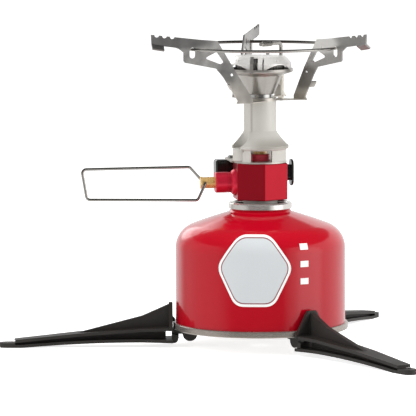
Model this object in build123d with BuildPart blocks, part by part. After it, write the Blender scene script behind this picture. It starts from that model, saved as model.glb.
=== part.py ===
from build123d import *
import os
from math import atan2, cos, degrees, radians, sin, sqrt, tan

os.makedirs("parts", exist_ok=True)

# A canister-top camping stove on its gas canister, in a folding three-leg stand.
# Millimetres, +Z up, origin on the ground below the canister's axis.

# Clearances
FIT = 0.05  # radial, round pieces that turn in a bore
SLIP = 0.3  # between pieces that move past each other

# Stand
LEG_AZIMUTHS = {"leg_left": 180, "leg_right": 301.4, "leg_back": 60}
LEG_REACH = 138.0  # axis to the tip
LEG_TIP_H = 3.4
LEG_FOOT = 12.0  # length of the flat that touches the ground
LEG_TIP_W = 7.6
LEG_ROOT_W = 20.0
LEG_WEB = 2.4
LEG_FLANGE = 1.6
LEG_PEAK = 13.8  # top of the root plate above the canister's rim edge
LEG_PLATE = 2.0
LEG_KNUCKLE = 16.0  # root plate to the bend in its upper edge
LEG_KNUCKLE_DROP = 7.0
LEG_KNUCKLE_W = 14.0
LEG_KNEE = 50.0  # root plate to where the web meets the flange
LEG_KNEE_Z = 7.6
LEG_ARCH = 2.0  # underside's height there
LEG_ROOT_Z = 2.6
LEG_HEEL_R = 2.3
LEG_HEEL_W = 13.0
LEG_PANEL = 0.8  # depth of the root plate's two panels
LEG_PANEL_RIM = 1.3
LEG_TIP_STEP = 0.8
LEG_WINDOW = 3.2
LEG_STEP_AT = 20.0  # where the arm has reached its level on the rivet
LOBE_R = 3.9
LEG_ARM_W = 8.0
LEG_ARM_T = 2.6
LEG_EYE_T = 2.2
LEG_EYE_R = 7.0
RIVET_R = 2.0
RIVET_HEAD_R = 4.2
RIVET_HEAD_T = 1.2
STAND_WASHER_T = 0.6

# Canister
CAN_LIFT = 9.5  # rim above the ground
CAN_R = 44.8
CAN_WALL = 0.5
CAN_SIDE = 42.7  # straight side, from the rim's foot
RIM_OUT = 1.4
RIM_IN = 1.5
RIM_H = 3.4
SHOULDER_IN = 8.6
SHOULDER_UP = 12.5
DOME_UP = 6.6
NECK_R = 15.6
NECK_H = 3.9
BASE_RISE = 7.5
CUP_SHEET = 0.5
CUP_CURL = 1.15  # middle of the curl's skirt outside the neck
CUP_DEPTH = 7.8
BOSS_R = 5.5
BOSS_UP = 2.7  # boss above the cup's curl
BOSS_BORE_R = 1.6
BOSS_CHAMBER_R = 3.4
BOSS_FLANGE_R = 7.5
BOSS_FLANGE_T = 1.5
PIN_R = 1.1
PIN_HEAD_R = 2.6
PIN_SINK = 1.0  # pin's end below the boss's end
PIN_TRAVEL = 1.5

# Valve block
STOVE_TURN = 7.0  # valve spindle's direction, from -X towards -Y
HEX_FLATS = 26.6
HEX_H = 19.4
HEX_GAP = 1.5  # block above the cup's curl
CONNECTOR_R = 9.0
CONNECTOR_SPIGOT_R = 8.0
CONNECTOR_UP = 5.2
CONNECTOR_DOWN = 6.0
DEPRESSOR_R = 1.1
VALVE_UP = 9.0  # spindle's axis above the block's foot
BARREL_R = 5.45
BARREL_LEN = 10.8
BARREL_FLARE = 1.7
BARREL_SPIGOT_R = 4.0
BARREL_SPIGOT = 4.0
SPINDLE_R = 2.95
SPINDLE_OUT = 7.8  # spindle's head beyond the barrel
SPINDLE_LIP = 0.3
NEEDLE_R = 1.6
CROSS_HOLE_IN = 2.1  # cross hole from the spindle's end
JET_BOSS_R = 5.0
JET_BOSS_H = 4.3
JET_FLATS = 6.2
JET_H = 2.5
JET_STUB_R = 2.4
GAS_BORE_R = 1.1

# Wire handle
HANDLE_WIRE = 1.5
HANDLE_LEN = 64.9  # cross hole to the upper far corner
HANDLE_UP = 8.0
HANDLE_DOWN = 8.8
HANDLE_SLANT = 2.7
HANDLE_BEND = 2.0

# Igniter
BRACKET_T = 0.8
BRACKET_R = 14.0
BRACKET_TONGUE = (22.0, 24.5)  # width across, reach behind the axis
IGNITER_LEN = 37.6
IGNITER_W = 10.0
IGNITER_H = 15.0
IGNITER_SHIFT = -2.3  # middle of its length, along the spindle's line
IGNITER_ROUND = 2.0
BUTTON_TRAVEL = 2.8
BUTTON_HEAD = 1.4  # thickness of the head outside
BUTTON_HEAD_W = 8.4
BUTTON_HEAD_H = 14.2
BUTTON_W = 5.6  # stem
BUTTON_H = 8.6
BUTTON_DEEP = 4.0

# Mixing column
COLUMN_R = 13.7
COLUMN_WALL = 7.1
COLUMN_FOOT_H = 6.9
LIP_R = 15.0
LIP_H = 1.7
FLARE_R = 14.4
TUBE_R = 8.55
FLARE_H = 7.3
TUBE_H = 15.6
TUBE_BORE_R = 4.8
NECK_SPIGOT_R = 5.8
SPACER_R = 6.6
SPACER_H = 1.85
WINDOW_W = 11.2
WINDOW_TURN = 23.8
WINDOW_COUNT = 3
SCREW_AT = 12.0
SCREW_R = 0.9
SCREW_HEAD_R = 1.7
SCREW_HEAD_H = 1.7
SCREW_SEAT = 1.6  # head's seat below the lip
SCREW_DEEP = 7.5
POCKET_R = 4.8
SCREW_AZIMUTHS = (202, 84)
BRACKET_SCREW_R = 1.45
BRACKET_SCREW_HEAD_R = 2.5

# Pot arms
ARM_AZIMUTHS = {"arm_left": 194.1, "arm_right": 312.6, "arm_back": 75.0}
ARM_SHEET = 0.9
ARM_OFFSET = 14.8  # plate's middle from the line through the axis
ARM_REACH = 63.2
ARM_RISE = 36.8  # tip above the inner foot's level
ARM_TIP_H = 5.3
ARM_FOOT = (8.9, 17.9)
ARM_LEAN = 18.6  # how far the plate's inner edge leans out
ARM_CORNER = 3.9  # plate's inner corner, down from the tip
ARM_TOP = (8.5, 3.2)  # start of the toothed edge: out from the inner corner, down from the tip
ARM_LUG = (4.8, 7.0)  # lug round the ring slot: out and down from the ring
ARM_WAIST = 10.2  # plate's lower edge at its inner end, down from the ring
ARM_STOP = 4.2  # reach of the stop tab beside the plate
ARM_STOP_W = 3.2
ARM_CREASE = 147.2  # level of the fold between plate and shank
ARM_FOLD = 6.5  # how far the shank leans out below the fold, degrees
ARM_KNEE = (6.6, 14.7)  # outer edge's knee: out from the foot, down from the ring
ARM_PIN = (10.9, 15.0)  # pin hole, from the foot's inner corner
ARM_DIMPLE = 0.35
ARM_RING_R = 8.6
ARM_RING_T = 0.45  # ring and tongue, coined thinner than the plate
TOOTH_PITCH = 4.15
TOOTH_R = 1.3
TOOTH_COUNT = 3
SLOT_W = 3.1
SLOT_H = 5.6
RING_R = 43.6
RING_WIRE = 1.6
RING_BELOW_TIP = 8.2

# Burner head
CUP_FOOT_R = 7.5
CUP_TOP_R = 11.7
CUP_H = 10.0
DISH_R = 17.4
DISH_H = 3.5
HEAD_SHEET = 0.7
CAP_TOP_R = 13.6
CAP_GAP = 0.15
CAP_H = 7.6
CAP_BEVEL = 3.4
CAP_TURN = 261.5
PORT_W = 16.0
PORT_H = 2.4
LOBE_COUNT = 4
CAP_SLOT_W = 3.9  # slot beside the crimp tab
CAP_SLOT_COUNT = 2
CAP_SLOT_DEEP = 3.4
PILLAR_W = 2.4  # pillar between the slot and its slit
CAP_SLIT_W = 0.7
CAP_SLOT_AT = 0.55  # slot's edge from its middle line
CAP_PIERCE_R = 0.45
TAB_W = 1.8
TAB_OUT = 0.5  # tab outside the dish's wall
TAB_SIDE = 1.6
NUT_R = 6.5
NUT_H = 2.0

# Electrode
ELECTRODE_AZIMUTH = 53.0
ELECTRODE_AT = 19.6
ELECTRODE_R = 1.0
ELECTRODE_UP = 1.0  # wire above the pot ring
ELECTRODE_OVER = 19.0  # wire's reach over the burner
INSULATOR_R = 1.75
INSULATOR_COLLAR_R = 2.4
STRIP_W = 4.2
STRIP_UP = 10.4
STRIP_IN = 1.5  # upright from the insulator, towards the burner
STRIP_T = 0.5

# Levels that follow from the sizes above
rim_r = CAN_R + RIM_OUT
rim_top = CAN_LIFT + RIM_H
side_top = CAN_LIFT + CAN_SIDE
dome_start = side_top + SHOULDER_UP
dome_end = dome_start + DOME_UP
neck_top = dome_end + NECK_H
curl_top = neck_top + 0.7 + CUP_SHEET
cup_floor = curl_top - CUP_DEPTH
boss_top = curl_top + BOSS_UP
pin_top = boss_top - PIN_SINK
hex_foot = curl_top + HEX_GAP
hex_top = hex_foot + HEX_H
hex_flat = HEX_FLATS / 2
valve_z = hex_foot + VALVE_UP
connector_top = hex_foot + CONNECTOR_UP
barrel_end = hex_flat + BARREL_LEN
spindle_end = barrel_end + SPINDLE_OUT
cross_hole = spindle_end - CROSS_HOLE_IN
column_foot = hex_top + BRACKET_T
lip_foot = column_foot + COLUMN_FOOT_H
lip_top = lip_foot + LIP_H
flare_top = lip_top + FLARE_H
tube_top = flare_top + TUBE_H
strip_foot = tube_top + 3 * ARM_RING_T
spacer_foot = strip_foot + STRIP_T
cup_foot = spacer_foot + SPACER_H
dish_foot = cup_foot + CUP_H
dish_top = dish_foot + DISH_H
arm_tip_z = tube_top + ARM_RISE
ring_z = arm_tip_z - RING_BELOW_TIP
valve_axis = Axis((0, 0, valve_z), (1, 0, 0))


def save(part, label, azimuth=0.0):
    """Turn a finished piece about the canister's axis, name it and write it."""
    placed = part.rotate(Axis.Z, azimuth)
    placed.label = label
    export_step(placed, f"parts/{label}.step")


# Canister: drawn shell, with one outline offset to the sheet's thickness
with BuildPart() as canister_shell:
    with BuildSketch(Plane.XZ):
        with BuildLine():
            side = Line((CAN_R, rim_top), (CAN_R, side_top))
            shoulder = TangentArc((CAN_R, side_top), (CAN_R - SHOULDER_IN, dome_start), tangent=side % 1)
            dome = TangentArc(shoulder @ 1, (NECK_R + 1.0, dome_end), tangent=shoulder % 1)
            flare = Line(dome @ 1, (NECK_R, dome_end + 1.4))
            Line(flare @ 1, (NECK_R, neck_top))
            offset(amount=CAN_WALL, side=Side.LEFT)
        make_face()
    revolve(axis=Axis.Z)
save(canister_shell.part, "canister_shell")

# Concave base with the rolled seam that stands as the rim
with BuildPart() as canister_base:
    seam_in = CAN_R - RIM_IN
    panel_edge = CAN_LIFT + 0.6 * RIM_H
    panel_mid = CAN_LIFT + BASE_RISE
    with BuildSketch(Plane.XZ) as seam:
        with Locations((seam_in, CAN_LIFT)):
            Rectangle(rim_r - seam_in, RIM_H, align=(Align.MIN, Align.MIN))
        fillet(seam.vertices().group_by(Axis.X)[-1], 0.42 * RIM_OUT)
    revolve(axis=Axis.Z)
    with BuildSketch(Plane.XZ):
        with BuildLine():
            under = TangentArc((0, panel_mid), (seam_in, panel_edge), tangent=(1, 0))
            over = TangentArc((0, panel_mid + CAN_WALL), (seam_in, panel_edge + CAN_WALL), tangent=(1, 0))
            Line(under @ 0, over @ 0)
            Line(under @ 1, over @ 1)
        make_face()
    revolve(axis=Axis.Z)
save(canister_base.part, "canister_base")

# Valve cup curled over the neck
with BuildPart() as valve_cup:
    wall_in = NECK_R - CAN_WALL - CUP_CURL
    wall_out = NECK_R + CUP_CURL - CUP_SHEET
    with BuildSketch(Plane.XZ):
        with BuildLine():
            FilletPolyline(
                (BOSS_R + 0.1, cup_floor),
                (wall_in, cup_floor),
                (wall_in, curl_top),
                (wall_out + CUP_SHEET, curl_top),
                (wall_out + CUP_SHEET, neck_top - 1.9),
                radius=1.0,
            )
            offset(amount=CUP_SHEET, side=Side.RIGHT)
        make_face()
    revolve(axis=Axis.Z)
save(valve_cup.part, "valve_cup")

with BuildPart() as cup_gasket:
    with BuildSketch(Plane.XY.offset(neck_top)):
        Circle(NECK_R)
        Circle(NECK_R - CAN_WALL, mode=Mode.SUBTRACT)
    extrude(amount=curl_top - CUP_SHEET - neck_top)
save(cup_gasket.part, "cup_gasket")

# Threaded boss with the canister's own valve in it
boss_foot = cup_floor - CUP_SHEET - BOSS_FLANGE_T
gasket_top = pin_top - 4.5
with BuildPart() as valve_boss:
    with BuildSketch(Plane.XY.offset(boss_foot)):
        Circle(BOSS_FLANGE_R)
    extrude(amount=BOSS_FLANGE_T)
    with BuildSketch(Plane.XY.offset(boss_foot)):
        Circle(BOSS_R)
    extrude(amount=boss_top - boss_foot)
    chamfer(faces().sort_by(Axis.Z)[-1].edges(), 0.5)
    with BuildSketch(Plane.XY.offset(boss_foot)):
        Circle(BOSS_CHAMBER_R)
    extrude(amount=gasket_top - boss_foot, mode=Mode.SUBTRACT)
    with BuildSketch(Plane.XY.offset(boss_foot)):
        Circle(BOSS_BORE_R)
    extrude(amount=boss_top - boss_foot, mode=Mode.SUBTRACT)
save(valve_boss.part, "valve_boss")

with BuildPart() as valve_gasket:
    with BuildSketch(Plane.XY.offset(gasket_top - 1.0)):
        Circle(BOSS_CHAMBER_R)
        Circle(BOSS_BORE_R, mode=Mode.SUBTRACT)
    extrude(amount=1.0)
save(valve_gasket.part, "valve_gasket")

pin_head_top = gasket_top - 1.0
with BuildPart() as valve_pin:
    with BuildSketch(Plane.XY.offset(pin_head_top - 1.5)):
        Circle(PIN_HEAD_R)
    extrude(amount=1.5)
    with BuildSketch(Plane.XY.offset(pin_head_top)):
        Circle(PIN_R)
    extrude(amount=pin_top - pin_head_top)
save(valve_pin.part, "valve_pin")

plug_top = boss_foot + 0.5
with BuildPart() as valve_housing:
    with BuildSketch(Plane.XY.offset(boss_foot - 2.5)):
        Circle(BOSS_FLANGE_R)
    extrude(amount=2.5)
    with BuildSketch(Plane.XY.offset(boss_foot)):
        Circle(BOSS_CHAMBER_R - FIT)
    extrude(amount=plug_top - boss_foot)
    with Locations((0, 0, plug_top)):
        Hole(0.8)
save(valve_housing.part, "valve_housing")

# The spring's envelope at its pressed length
with BuildPart() as valve_spring:
    with BuildSketch(Plane.XY.offset(plug_top)):
        Circle(PIN_HEAD_R - 0.1)
        Circle(PIN_HEAD_R - 0.8, mode=Mode.SUBTRACT)
    extrude(amount=pin_head_top - 1.5 - PIN_TRAVEL - plug_top)
save(valve_spring.part, "valve_spring")

# Stand legs: root plate against the rim, ribbed outer limb, inner arm to the rivet
root_at = rim_r + SLIP
rib_z = CAN_LIFT + 1.2
peak_z = CAN_LIFT + LEG_PEAK
knuckle = root_at + LEG_KNUCKLE
knuckle_z = peak_z - LEG_KNUCKLE_DROP
knee = root_at + LEG_KNEE
arm_foot = CAN_LIFT - LEG_ARM_T
eye_foot = CAN_LIFT - LEG_EYE_T - 0.3
clip_in = root_at - 3.2
lobe_at = clip_in - LOBE_R - 2.0
foot_at = LEG_REACH - LEG_FOOT

with BuildPart() as leg_flanges:
    # Side view of the middle flange, the arched bottom flange and the solid tip
    with BuildSketch(Plane.XZ):
        with BuildLine():
            Polyline(
                (root_at, rib_z),
                (knuckle, rib_z - 0.7),
                (knee, LEG_KNEE_Z),
                (LEG_REACH, LEG_TIP_H),
                (LEG_REACH, LEG_TIP_H - LEG_FLANGE),
                (knee, LEG_KNEE_Z - LEG_FLANGE),
                (knuckle, rib_z - 0.7 - LEG_FLANGE),
                (root_at, rib_z - LEG_FLANGE),
                close=True,
            )
        make_face()
        with BuildLine():
            Line((LEG_REACH, 0), (foot_at, 0))
            ThreePointArc((foot_at, 0), (knee, LEG_ARCH), (root_at, LEG_ROOT_Z))
            Line((root_at, LEG_ROOT_Z), (root_at, LEG_ROOT_Z + LEG_FLANGE))
            ThreePointArc(
                (root_at, LEG_ROOT_Z + LEG_FLANGE), (knee, LEG_ARCH + LEG_FLANGE), (foot_at, LEG_FLANGE)
            )
            Line((foot_at, LEG_FLANGE), (LEG_REACH, LEG_FLANGE))
            Line((LEG_REACH, LEG_FLANGE), (LEG_REACH, 0))
        make_face()
        with Locations((LEG_REACH, 0)):
            Rectangle(0.7 * LEG_FOOT, LEG_TIP_H, align=(Align.MAX, Align.MIN))
    extrude(amount=LEG_ROOT_W, both=True)
    # Plan view: wide at the rim, tapering to a round tip
    with BuildSketch():
        with BuildLine():
            Polyline(
                (LEG_REACH - LEG_TIP_W / 2, LEG_TIP_W / 2),
                (knuckle, LEG_KNUCKLE_W / 2),
                (root_at, LEG_ROOT_W / 2),
                (root_at, -LEG_ROOT_W / 2),
                (knuckle, -LEG_KNUCKLE_W / 2),
                (LEG_REACH - LEG_TIP_W / 2, -LEG_TIP_W / 2),
            )
            ThreePointArc(
                (LEG_REACH - LEG_TIP_W / 2, -LEG_TIP_W / 2),
                (LEG_REACH, 0),
                (LEG_REACH - LEG_TIP_W / 2, LEG_TIP_W / 2),
            )
        make_face()
    extrude(amount=peak_z, mode=Mode.INTERSECT)


def leg(level):
    """One leg along +X. The level is its eye's place in the stack on the rivet."""
    eye_z = eye_foot + level * LEG_EYE_T
    with BuildPart() as piece:
        add(leg_flanges.part)
        # Web, from the clip under the rim to the tip
        with BuildSketch(Plane.XZ):
            with BuildLine():
                Polyline(
                    (foot_at, 0),
                    (LEG_REACH - LEG_TIP_W / 2, 0),
                    (LEG_REACH - LEG_TIP_W / 2, LEG_TIP_H),
                    (knee, LEG_KNEE_Z),
                    (knuckle, knuckle_z),
                    (root_at, peak_z),
                    (root_at, CAN_LIFT),
                    (clip_in, CAN_LIFT),
                    (clip_in, LEG_ROOT_Z + 1.6),
                    (root_at - 1.2, LEG_ROOT_Z),
                    (root_at, LEG_ROOT_Z),
                )
                ThreePointArc((root_at, LEG_ROOT_Z), (knee, LEG_ARCH), (foot_at, 0))
            make_face()
        extrude(amount=LEG_WEB / 2, both=True)
        # Arrow-shaped root plate and the nib that holds the rim down
        with BuildSketch(Plane.YZ.offset(root_at)):
            with BuildLine():
                Polyline(
                    (-LEG_ROOT_W / 2, rib_z - LEG_FLANGE),
                    (LEG_ROOT_W / 2, rib_z - LEG_FLANGE),
                    (LEG_ROOT_W / 2, rib_z),
                    (LEG_WEB, peak_z),
                    (-LEG_WEB, peak_z),
                    (-LEG_ROOT_W / 2, rib_z),
                    close=True,
                )
            make_face()
        extrude(amount=LEG_PLATE)
        # Sunk panel on each side of the web, inside the plate's raised rim
        with BuildSketch(Plane.YZ.offset(root_at + LEG_PLATE)):
            for side_of_web in (-1, 1):
                with BuildLine():
                    Polyline(
                        (side_of_web * (LEG_WEB / 2 + 0.4), rib_z + 0.4),
                        (side_of_web * (LEG_ROOT_W / 2 - 1.6 * LEG_PANEL_RIM), rib_z + 0.4),
                        (side_of_web * (LEG_WEB / 2 + 0.4), peak_z - 1.8 * LEG_PANEL_RIM),
                        close=True,
                    )
                make_face()
        extrude(amount=-LEG_PANEL, mode=Mode.SUBTRACT)
        # Rounded heel of the clip
        with BuildSketch(Plane.XZ):
            with Locations((root_at - 0.6, LEG_ROOT_Z + 0.88 * LEG_HEEL_R)):
                Circle(LEG_HEEL_R)
        extrude(amount=LEG_HEEL_W / 2, both=True)
        with BuildSketch(Plane.XZ):
            with BuildLine():
                Polyline(
                    (root_at, rim_top + SLIP),
                    (CAN_R + SLIP, rim_top + SLIP + 0.4),
                    (CAN_R + SLIP, rim_top + 1.6),
                    (root_at, rim_top + 3.0),
                    close=True,
                )
            make_face()
        extrude(amount=LEG_WEB, both=True)
        # Arm below the rim, its round lobe, and the step up to the eye
        with BuildSketch(Plane.XZ):
            with BuildLine():
                Polyline(
                    (root_at, CAN_LIFT),
                    (lobe_at - LOBE_R, CAN_LIFT),
                    (LEG_STEP_AT, eye_z + LEG_EYE_T),
                    (0, eye_z + LEG_EYE_T),
                    (0, eye_z),
                    (LEG_STEP_AT, eye_z),
                    (lobe_at - LOBE_R, arm_foot),
                )
                ThreePointArc(
                    (lobe_at - LOBE_R, arm_foot), (lobe_at, arm_foot - LOBE_R), (lobe_at + LOBE_R, arm_foot)
                )
                Polyline((lobe_at + LOBE_R, arm_foot), (root_at, arm_foot), (root_at, CAN_LIFT))
            make_face()
        extrude(amount=LEG_ARM_W / 2, both=True)
        with BuildSketch(Plane.XY.offset(eye_z)):
            Circle(LEG_EYE_R)
        extrude(amount=LEG_EYE_T)
        with Locations((0, 0, eye_z + LEG_EYE_T)):
            Hole(RIVET_R + FIT)
        # Slot through the clip that lets it spring
        with BuildSketch(Plane.XZ):
            with Locations((root_at + 0.4, LEG_ROOT_Z + LEG_FLANGE)):
                Rectangle(
                    LEG_WINDOW, rib_z - 2 * LEG_FLANGE - LEG_ROOT_Z, align=(Align.MIN, Align.MIN)
                )
        extrude(amount=LEG_ROOT_W, both=True, mode=Mode.SUBTRACT)
        # Step down to the tip
        with BuildSketch(Plane.XZ):
            with Locations((LEG_REACH, LEG_TIP_H)):
                Rectangle(0.7 * LEG_FOOT, 2 * LEG_TIP_STEP, align=(Align.MAX, Align.CENTER))
        extrude(amount=LEG_ROOT_W, both=True, mode=Mode.SUBTRACT)
    return piece.part


for layer, (leg_name, leg_azimuth) in enumerate(LEG_AZIMUTHS.items()):
    save(leg(layer), leg_name, leg_azimuth)

stack_top = eye_foot + 3 * LEG_EYE_T
with BuildPart() as stand_rivet:
    with BuildSketch(Plane.XY.offset(eye_foot - STAND_WASHER_T - RIVET_HEAD_T)):
        Circle(RIVET_HEAD_R)
    extrude(amount=RIVET_HEAD_T)
    with BuildSketch(Plane.XY.offset(eye_foot - STAND_WASHER_T)):
        Circle(RIVET_R)
    extrude(amount=stack_top + STAND_WASHER_T - eye_foot)
    with BuildSketch(Plane.XY.offset(stack_top)):
        Circle(RIVET_HEAD_R)
    extrude(amount=RIVET_HEAD_T)
    fillet(edges().filter_by(GeomType.CIRCLE).group_by(Axis.Z)[0], 0.5)
save(stand_rivet.part, "stand_rivet")

with BuildPart() as stand_washer:
    with BuildSketch(Plane.XY.offset(eye_foot - STAND_WASHER_T)):
        Circle(RIVET_HEAD_R + 1.0)
        Circle(RIVET_R + FIT, mode=Mode.SUBTRACT)
    extrude(amount=STAND_WASHER_T)
save(stand_washer.part, "stand_washer")

# Valve block: hexagonal, with its flats square to the spindle
jet_seat = hex_top + JET_BOSS_H
filter_foot = hex_top - 2.0
screw_spots = [
    (SCREW_AT * cos(radians(a)), SCREW_AT * sin(radians(a))) for a in SCREW_AZIMUTHS
]
with BuildPart() as valve_body:
    with BuildSketch(Plane.XY.offset(hex_foot)):
        RegularPolygon(HEX_FLATS / 2, 6, major_radius=False, rotation=30)
    extrude(amount=HEX_H)
    fillet(edges().filter_by(Axis.Z), 0.6)
    chamfer(faces().filter_by(Axis.Z).edges(), 0.4)
    with BuildSketch(Plane.XY.offset(hex_top)):
        Circle(JET_BOSS_R)
    extrude(amount=JET_BOSS_H)
    chamfer(faces().sort_by(Axis.Z)[-1].edges(), 0.4)
    # Socket for the connector, gas way up to the jet, and the filter's bore
    with BuildSketch(Plane.XY.offset(hex_foot)):
        Circle(CONNECTOR_SPIGOT_R)
    extrude(amount=CONNECTOR_UP, mode=Mode.SUBTRACT)
    with BuildSketch(Plane.XY.offset(filter_foot)):
        Circle(JET_STUB_R)
    extrude(amount=jet_seat - filter_foot, mode=Mode.SUBTRACT)
    with BuildSketch(Plane.XY.offset(valve_z)):
        Circle(GAS_BORE_R)
    extrude(amount=filter_foot - valve_z, mode=Mode.SUBTRACT)
    with BuildSketch(Plane.XY.offset(connector_top)):
        with Locations((-hex_flat / 2, 0)):
            Circle(GAS_BORE_R)
    extrude(amount=valve_z - connector_top, mode=Mode.SUBTRACT)
    # Cross bore: barrel's socket, needle's way and seat
    with BuildSketch(Plane.YZ.offset(-hex_flat)):
        with Locations((0, valve_z)):
            Circle(BARREL_SPIGOT_R)
    extrude(amount=BARREL_SPIGOT, mode=Mode.SUBTRACT)
    with BuildSketch(Plane.YZ.offset(-hex_flat)):
        with Locations((0, valve_z)):
            Circle(NEEDLE_R + SLIP)
    extrude(amount=hex_flat - 3.6, mode=Mode.SUBTRACT)
    with BuildSketch(Plane.YZ.offset(-hex_flat)):
        with Locations((0, valve_z)):
            Circle(0.5 * NEEDLE_R)
    extrude(amount=hex_flat, mode=Mode.SUBTRACT)
    with BuildSketch(Plane.XY.offset(hex_top - SCREW_DEEP)):
        with Locations(*screw_spots):
            Circle(SCREW_R)
    extrude(amount=SCREW_DEEP, mode=Mode.SUBTRACT)
save(valve_body.part, "valve_body", STOVE_TURN)

# Threaded socket that takes the canister, with its seal and pin
socket_top = boss_top + 2.2
with BuildPart() as inlet_connector:
    with BuildSketch(Plane.XY.offset(hex_foot - CONNECTOR_DOWN)):
        Circle(CONNECTOR_R)
    extrude(amount=CONNECTOR_DOWN)
    with BuildSketch(Plane.XY.offset(hex_foot)):
        Circle(CONNECTOR_SPIGOT_R)
    extrude(amount=CONNECTOR_UP)
    with BuildSketch(Plane.XY.offset(hex_foot - CONNECTOR_DOWN)):
        Circle(BOSS_R + FIT)
    extrude(amount=CONNECTOR_DOWN + socket_top - hex_foot, mode=Mode.SUBTRACT)
    with BuildSketch(Plane.XY.offset(socket_top)):
        Circle(DEPRESSOR_R + 1.4)
    extrude(amount=connector_top - socket_top, mode=Mode.SUBTRACT)
    chamfer(edges().group_by(Axis.Z)[0], 0.3)
save(inlet_connector.part, "inlet_connector", STOVE_TURN)

with BuildPart() as inlet_o_ring:
    with BuildSketch(Plane.XZ):
        with Locations((BOSS_R - 1.2, boss_top + 1.05)):
            Circle(1.0)
    revolve(axis=Axis.Z)
save(inlet_o_ring.part, "inlet_o_ring", STOVE_TURN)

with BuildPart() as depressor_pin:
    with BuildSketch(Plane.XY.offset(socket_top)):
        Circle(DEPRESSOR_R + 1.4)
        with PolarLocations(DEPRESSOR_R + 0.6, 3):
            Circle(0.5, mode=Mode.SUBTRACT)
    extrude(amount=connector_top - socket_top)
    with BuildSketch(Plane.XY.offset(pin_top)):
        Circle(DEPRESSOR_R)
    extrude(amount=socket_top - pin_top)
save(depressor_pin.part, "depressor_pin", STOVE_TURN)

# Barrel, flared where it meets the block, with two turned rings
with BuildPart() as valve_barrel:
    with BuildSketch(Plane.XZ):
        with BuildLine():
            Line((-hex_flat + BARREL_SPIGOT, valve_z), (-hex_flat + BARREL_SPIGOT, valve_z + BARREL_SPIGOT_R))
            Line((-hex_flat + BARREL_SPIGOT, valve_z + BARREL_SPIGOT_R), (-hex_flat, valve_z + BARREL_SPIGOT_R))
            Line((-hex_flat, valve_z + BARREL_SPIGOT_R), (-hex_flat, valve_z + BARREL_R + BARREL_FLARE))
            root = RadiusArc(
                (-hex_flat, valve_z + BARREL_R + BARREL_FLARE),
                (-hex_flat - 1.4 * BARREL_FLARE, valve_z + BARREL_R),
                -2.2 * BARREL_FLARE,
            )
            Line(root @ 1, (-barrel_end, valve_z + BARREL_R))
            Line((-barrel_end, valve_z + BARREL_R), (-barrel_end, valve_z))
            Line((-barrel_end, valve_z), (-hex_flat + BARREL_SPIGOT, valve_z))
        make_face()
        with Locations((-hex_flat - 3.2, valve_z + BARREL_R), (-hex_flat - 4.4, valve_z + BARREL_R)):
            Rectangle(0.5, 0.5, mode=Mode.SUBTRACT)
    revolve(axis=valve_axis)
    with BuildSketch(Plane.YZ.offset(-barrel_end)):
        with Locations((0, valve_z)):
            Circle(SPINDLE_R + FIT)
    extrude(amount=barrel_end, mode=Mode.SUBTRACT)
    chamfer(edges().filter_by(GeomType.CIRCLE).group_by(Axis.X)[0].sort_by(SortBy.RADIUS)[-1], 0.4)
save(valve_barrel.part, "valve_barrel", STOVE_TURN)

# Brass spindle: lipped head with the handle's cross hole, seal groove and needle
seal_at = barrel_end - 5.0
with BuildPart() as valve_spindle:
    with BuildSketch(Plane.XZ):
        with BuildLine():
            Polyline(
                (-spindle_end, valve_z),
                (-spindle_end, valve_z + SPINDLE_R + SPINDLE_LIP),
                (-spindle_end + 0.8, valve_z + SPINDLE_R + SPINDLE_LIP),
                (-spindle_end + 0.8, valve_z + SPINDLE_R),
                (-seal_at - 0.7, valve_z + SPINDLE_R),
                (-seal_at - 0.7, valve_z + SPINDLE_R - 1.1),
                (-seal_at + 0.7, valve_z + SPINDLE_R - 1.1),
                (-seal_at + 0.7, valve_z + SPINDLE_R),
                (-hex_flat + BARREL_SPIGOT - 1.0, valve_z + SPINDLE_R),
                (-hex_flat + BARREL_SPIGOT - 1.0, valve_z + NEEDLE_R),
                (-5.6, valve_z + NEEDLE_R),
                (-3.7, valve_z + 0.3),
                (-3.7, valve_z),
                close=True,
            )
        make_face()
    revolve(axis=valve_axis)
    with BuildSketch(Plane.XZ):
        with Locations((-cross_hole, valve_z)):
            Circle(HANDLE_WIRE / 2 + FIT)
    extrude(amount=2 * SPINDLE_R, both=True, mode=Mode.SUBTRACT)
save(valve_spindle.part, "valve_spindle", STOVE_TURN)

with BuildPart() as spindle_o_ring:
    with BuildSketch(Plane.XZ):
        with Locations((-seal_at, valve_z + SPINDLE_R - 0.52)):
            Circle(0.52)
    revolve(axis=valve_axis)
save(spindle_o_ring.part, "spindle_o_ring", STOVE_TURN)

# Wire handle: one bent wire whose two ends enter the cross hole from front and back
leg_y = SPINDLE_R + SPINDLE_LIP + HANDLE_WIRE / 2 + SLIP
far = cross_hole + HANDLE_LEN
handle_points = [
    (-cross_hole, -0.4, valve_z),
    (-cross_hole, -leg_y, valve_z),
    (-cross_hole - 4.2, -leg_y, valve_z - HANDLE_DOWN),
    (-far + HANDLE_SLANT, 0, valve_z - HANDLE_UP),
    (-far, 0, valve_z + HANDLE_UP),
    (-cross_hole - 7.2, leg_y, valve_z + HANDLE_UP),
    (-cross_hole, leg_y, valve_z),
    (-cross_hole, 0.4, valve_z),
]
with BuildPart() as wire_handle:
    with BuildLine() as bent:
        FilletPolyline(*handle_points, radius=[1.0] + 4 * [HANDLE_BEND] + [1.0])
    with BuildSketch(Plane(origin=bent.line @ 0, z_dir=bent.line % 0)):
        Circle(HANDLE_WIRE / 2)
    sweep()
save(wire_handle.part, "wire_handle", STOVE_TURN)

# Filter and jet on the block's top
with BuildPart() as gas_filter:
    with BuildSketch(Plane.XY.offset(filter_foot)):
        Circle(JET_STUB_R - FIT)
    extrude(amount=1.6)
save(gas_filter.part, "gas_filter", STOVE_TURN)

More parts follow.
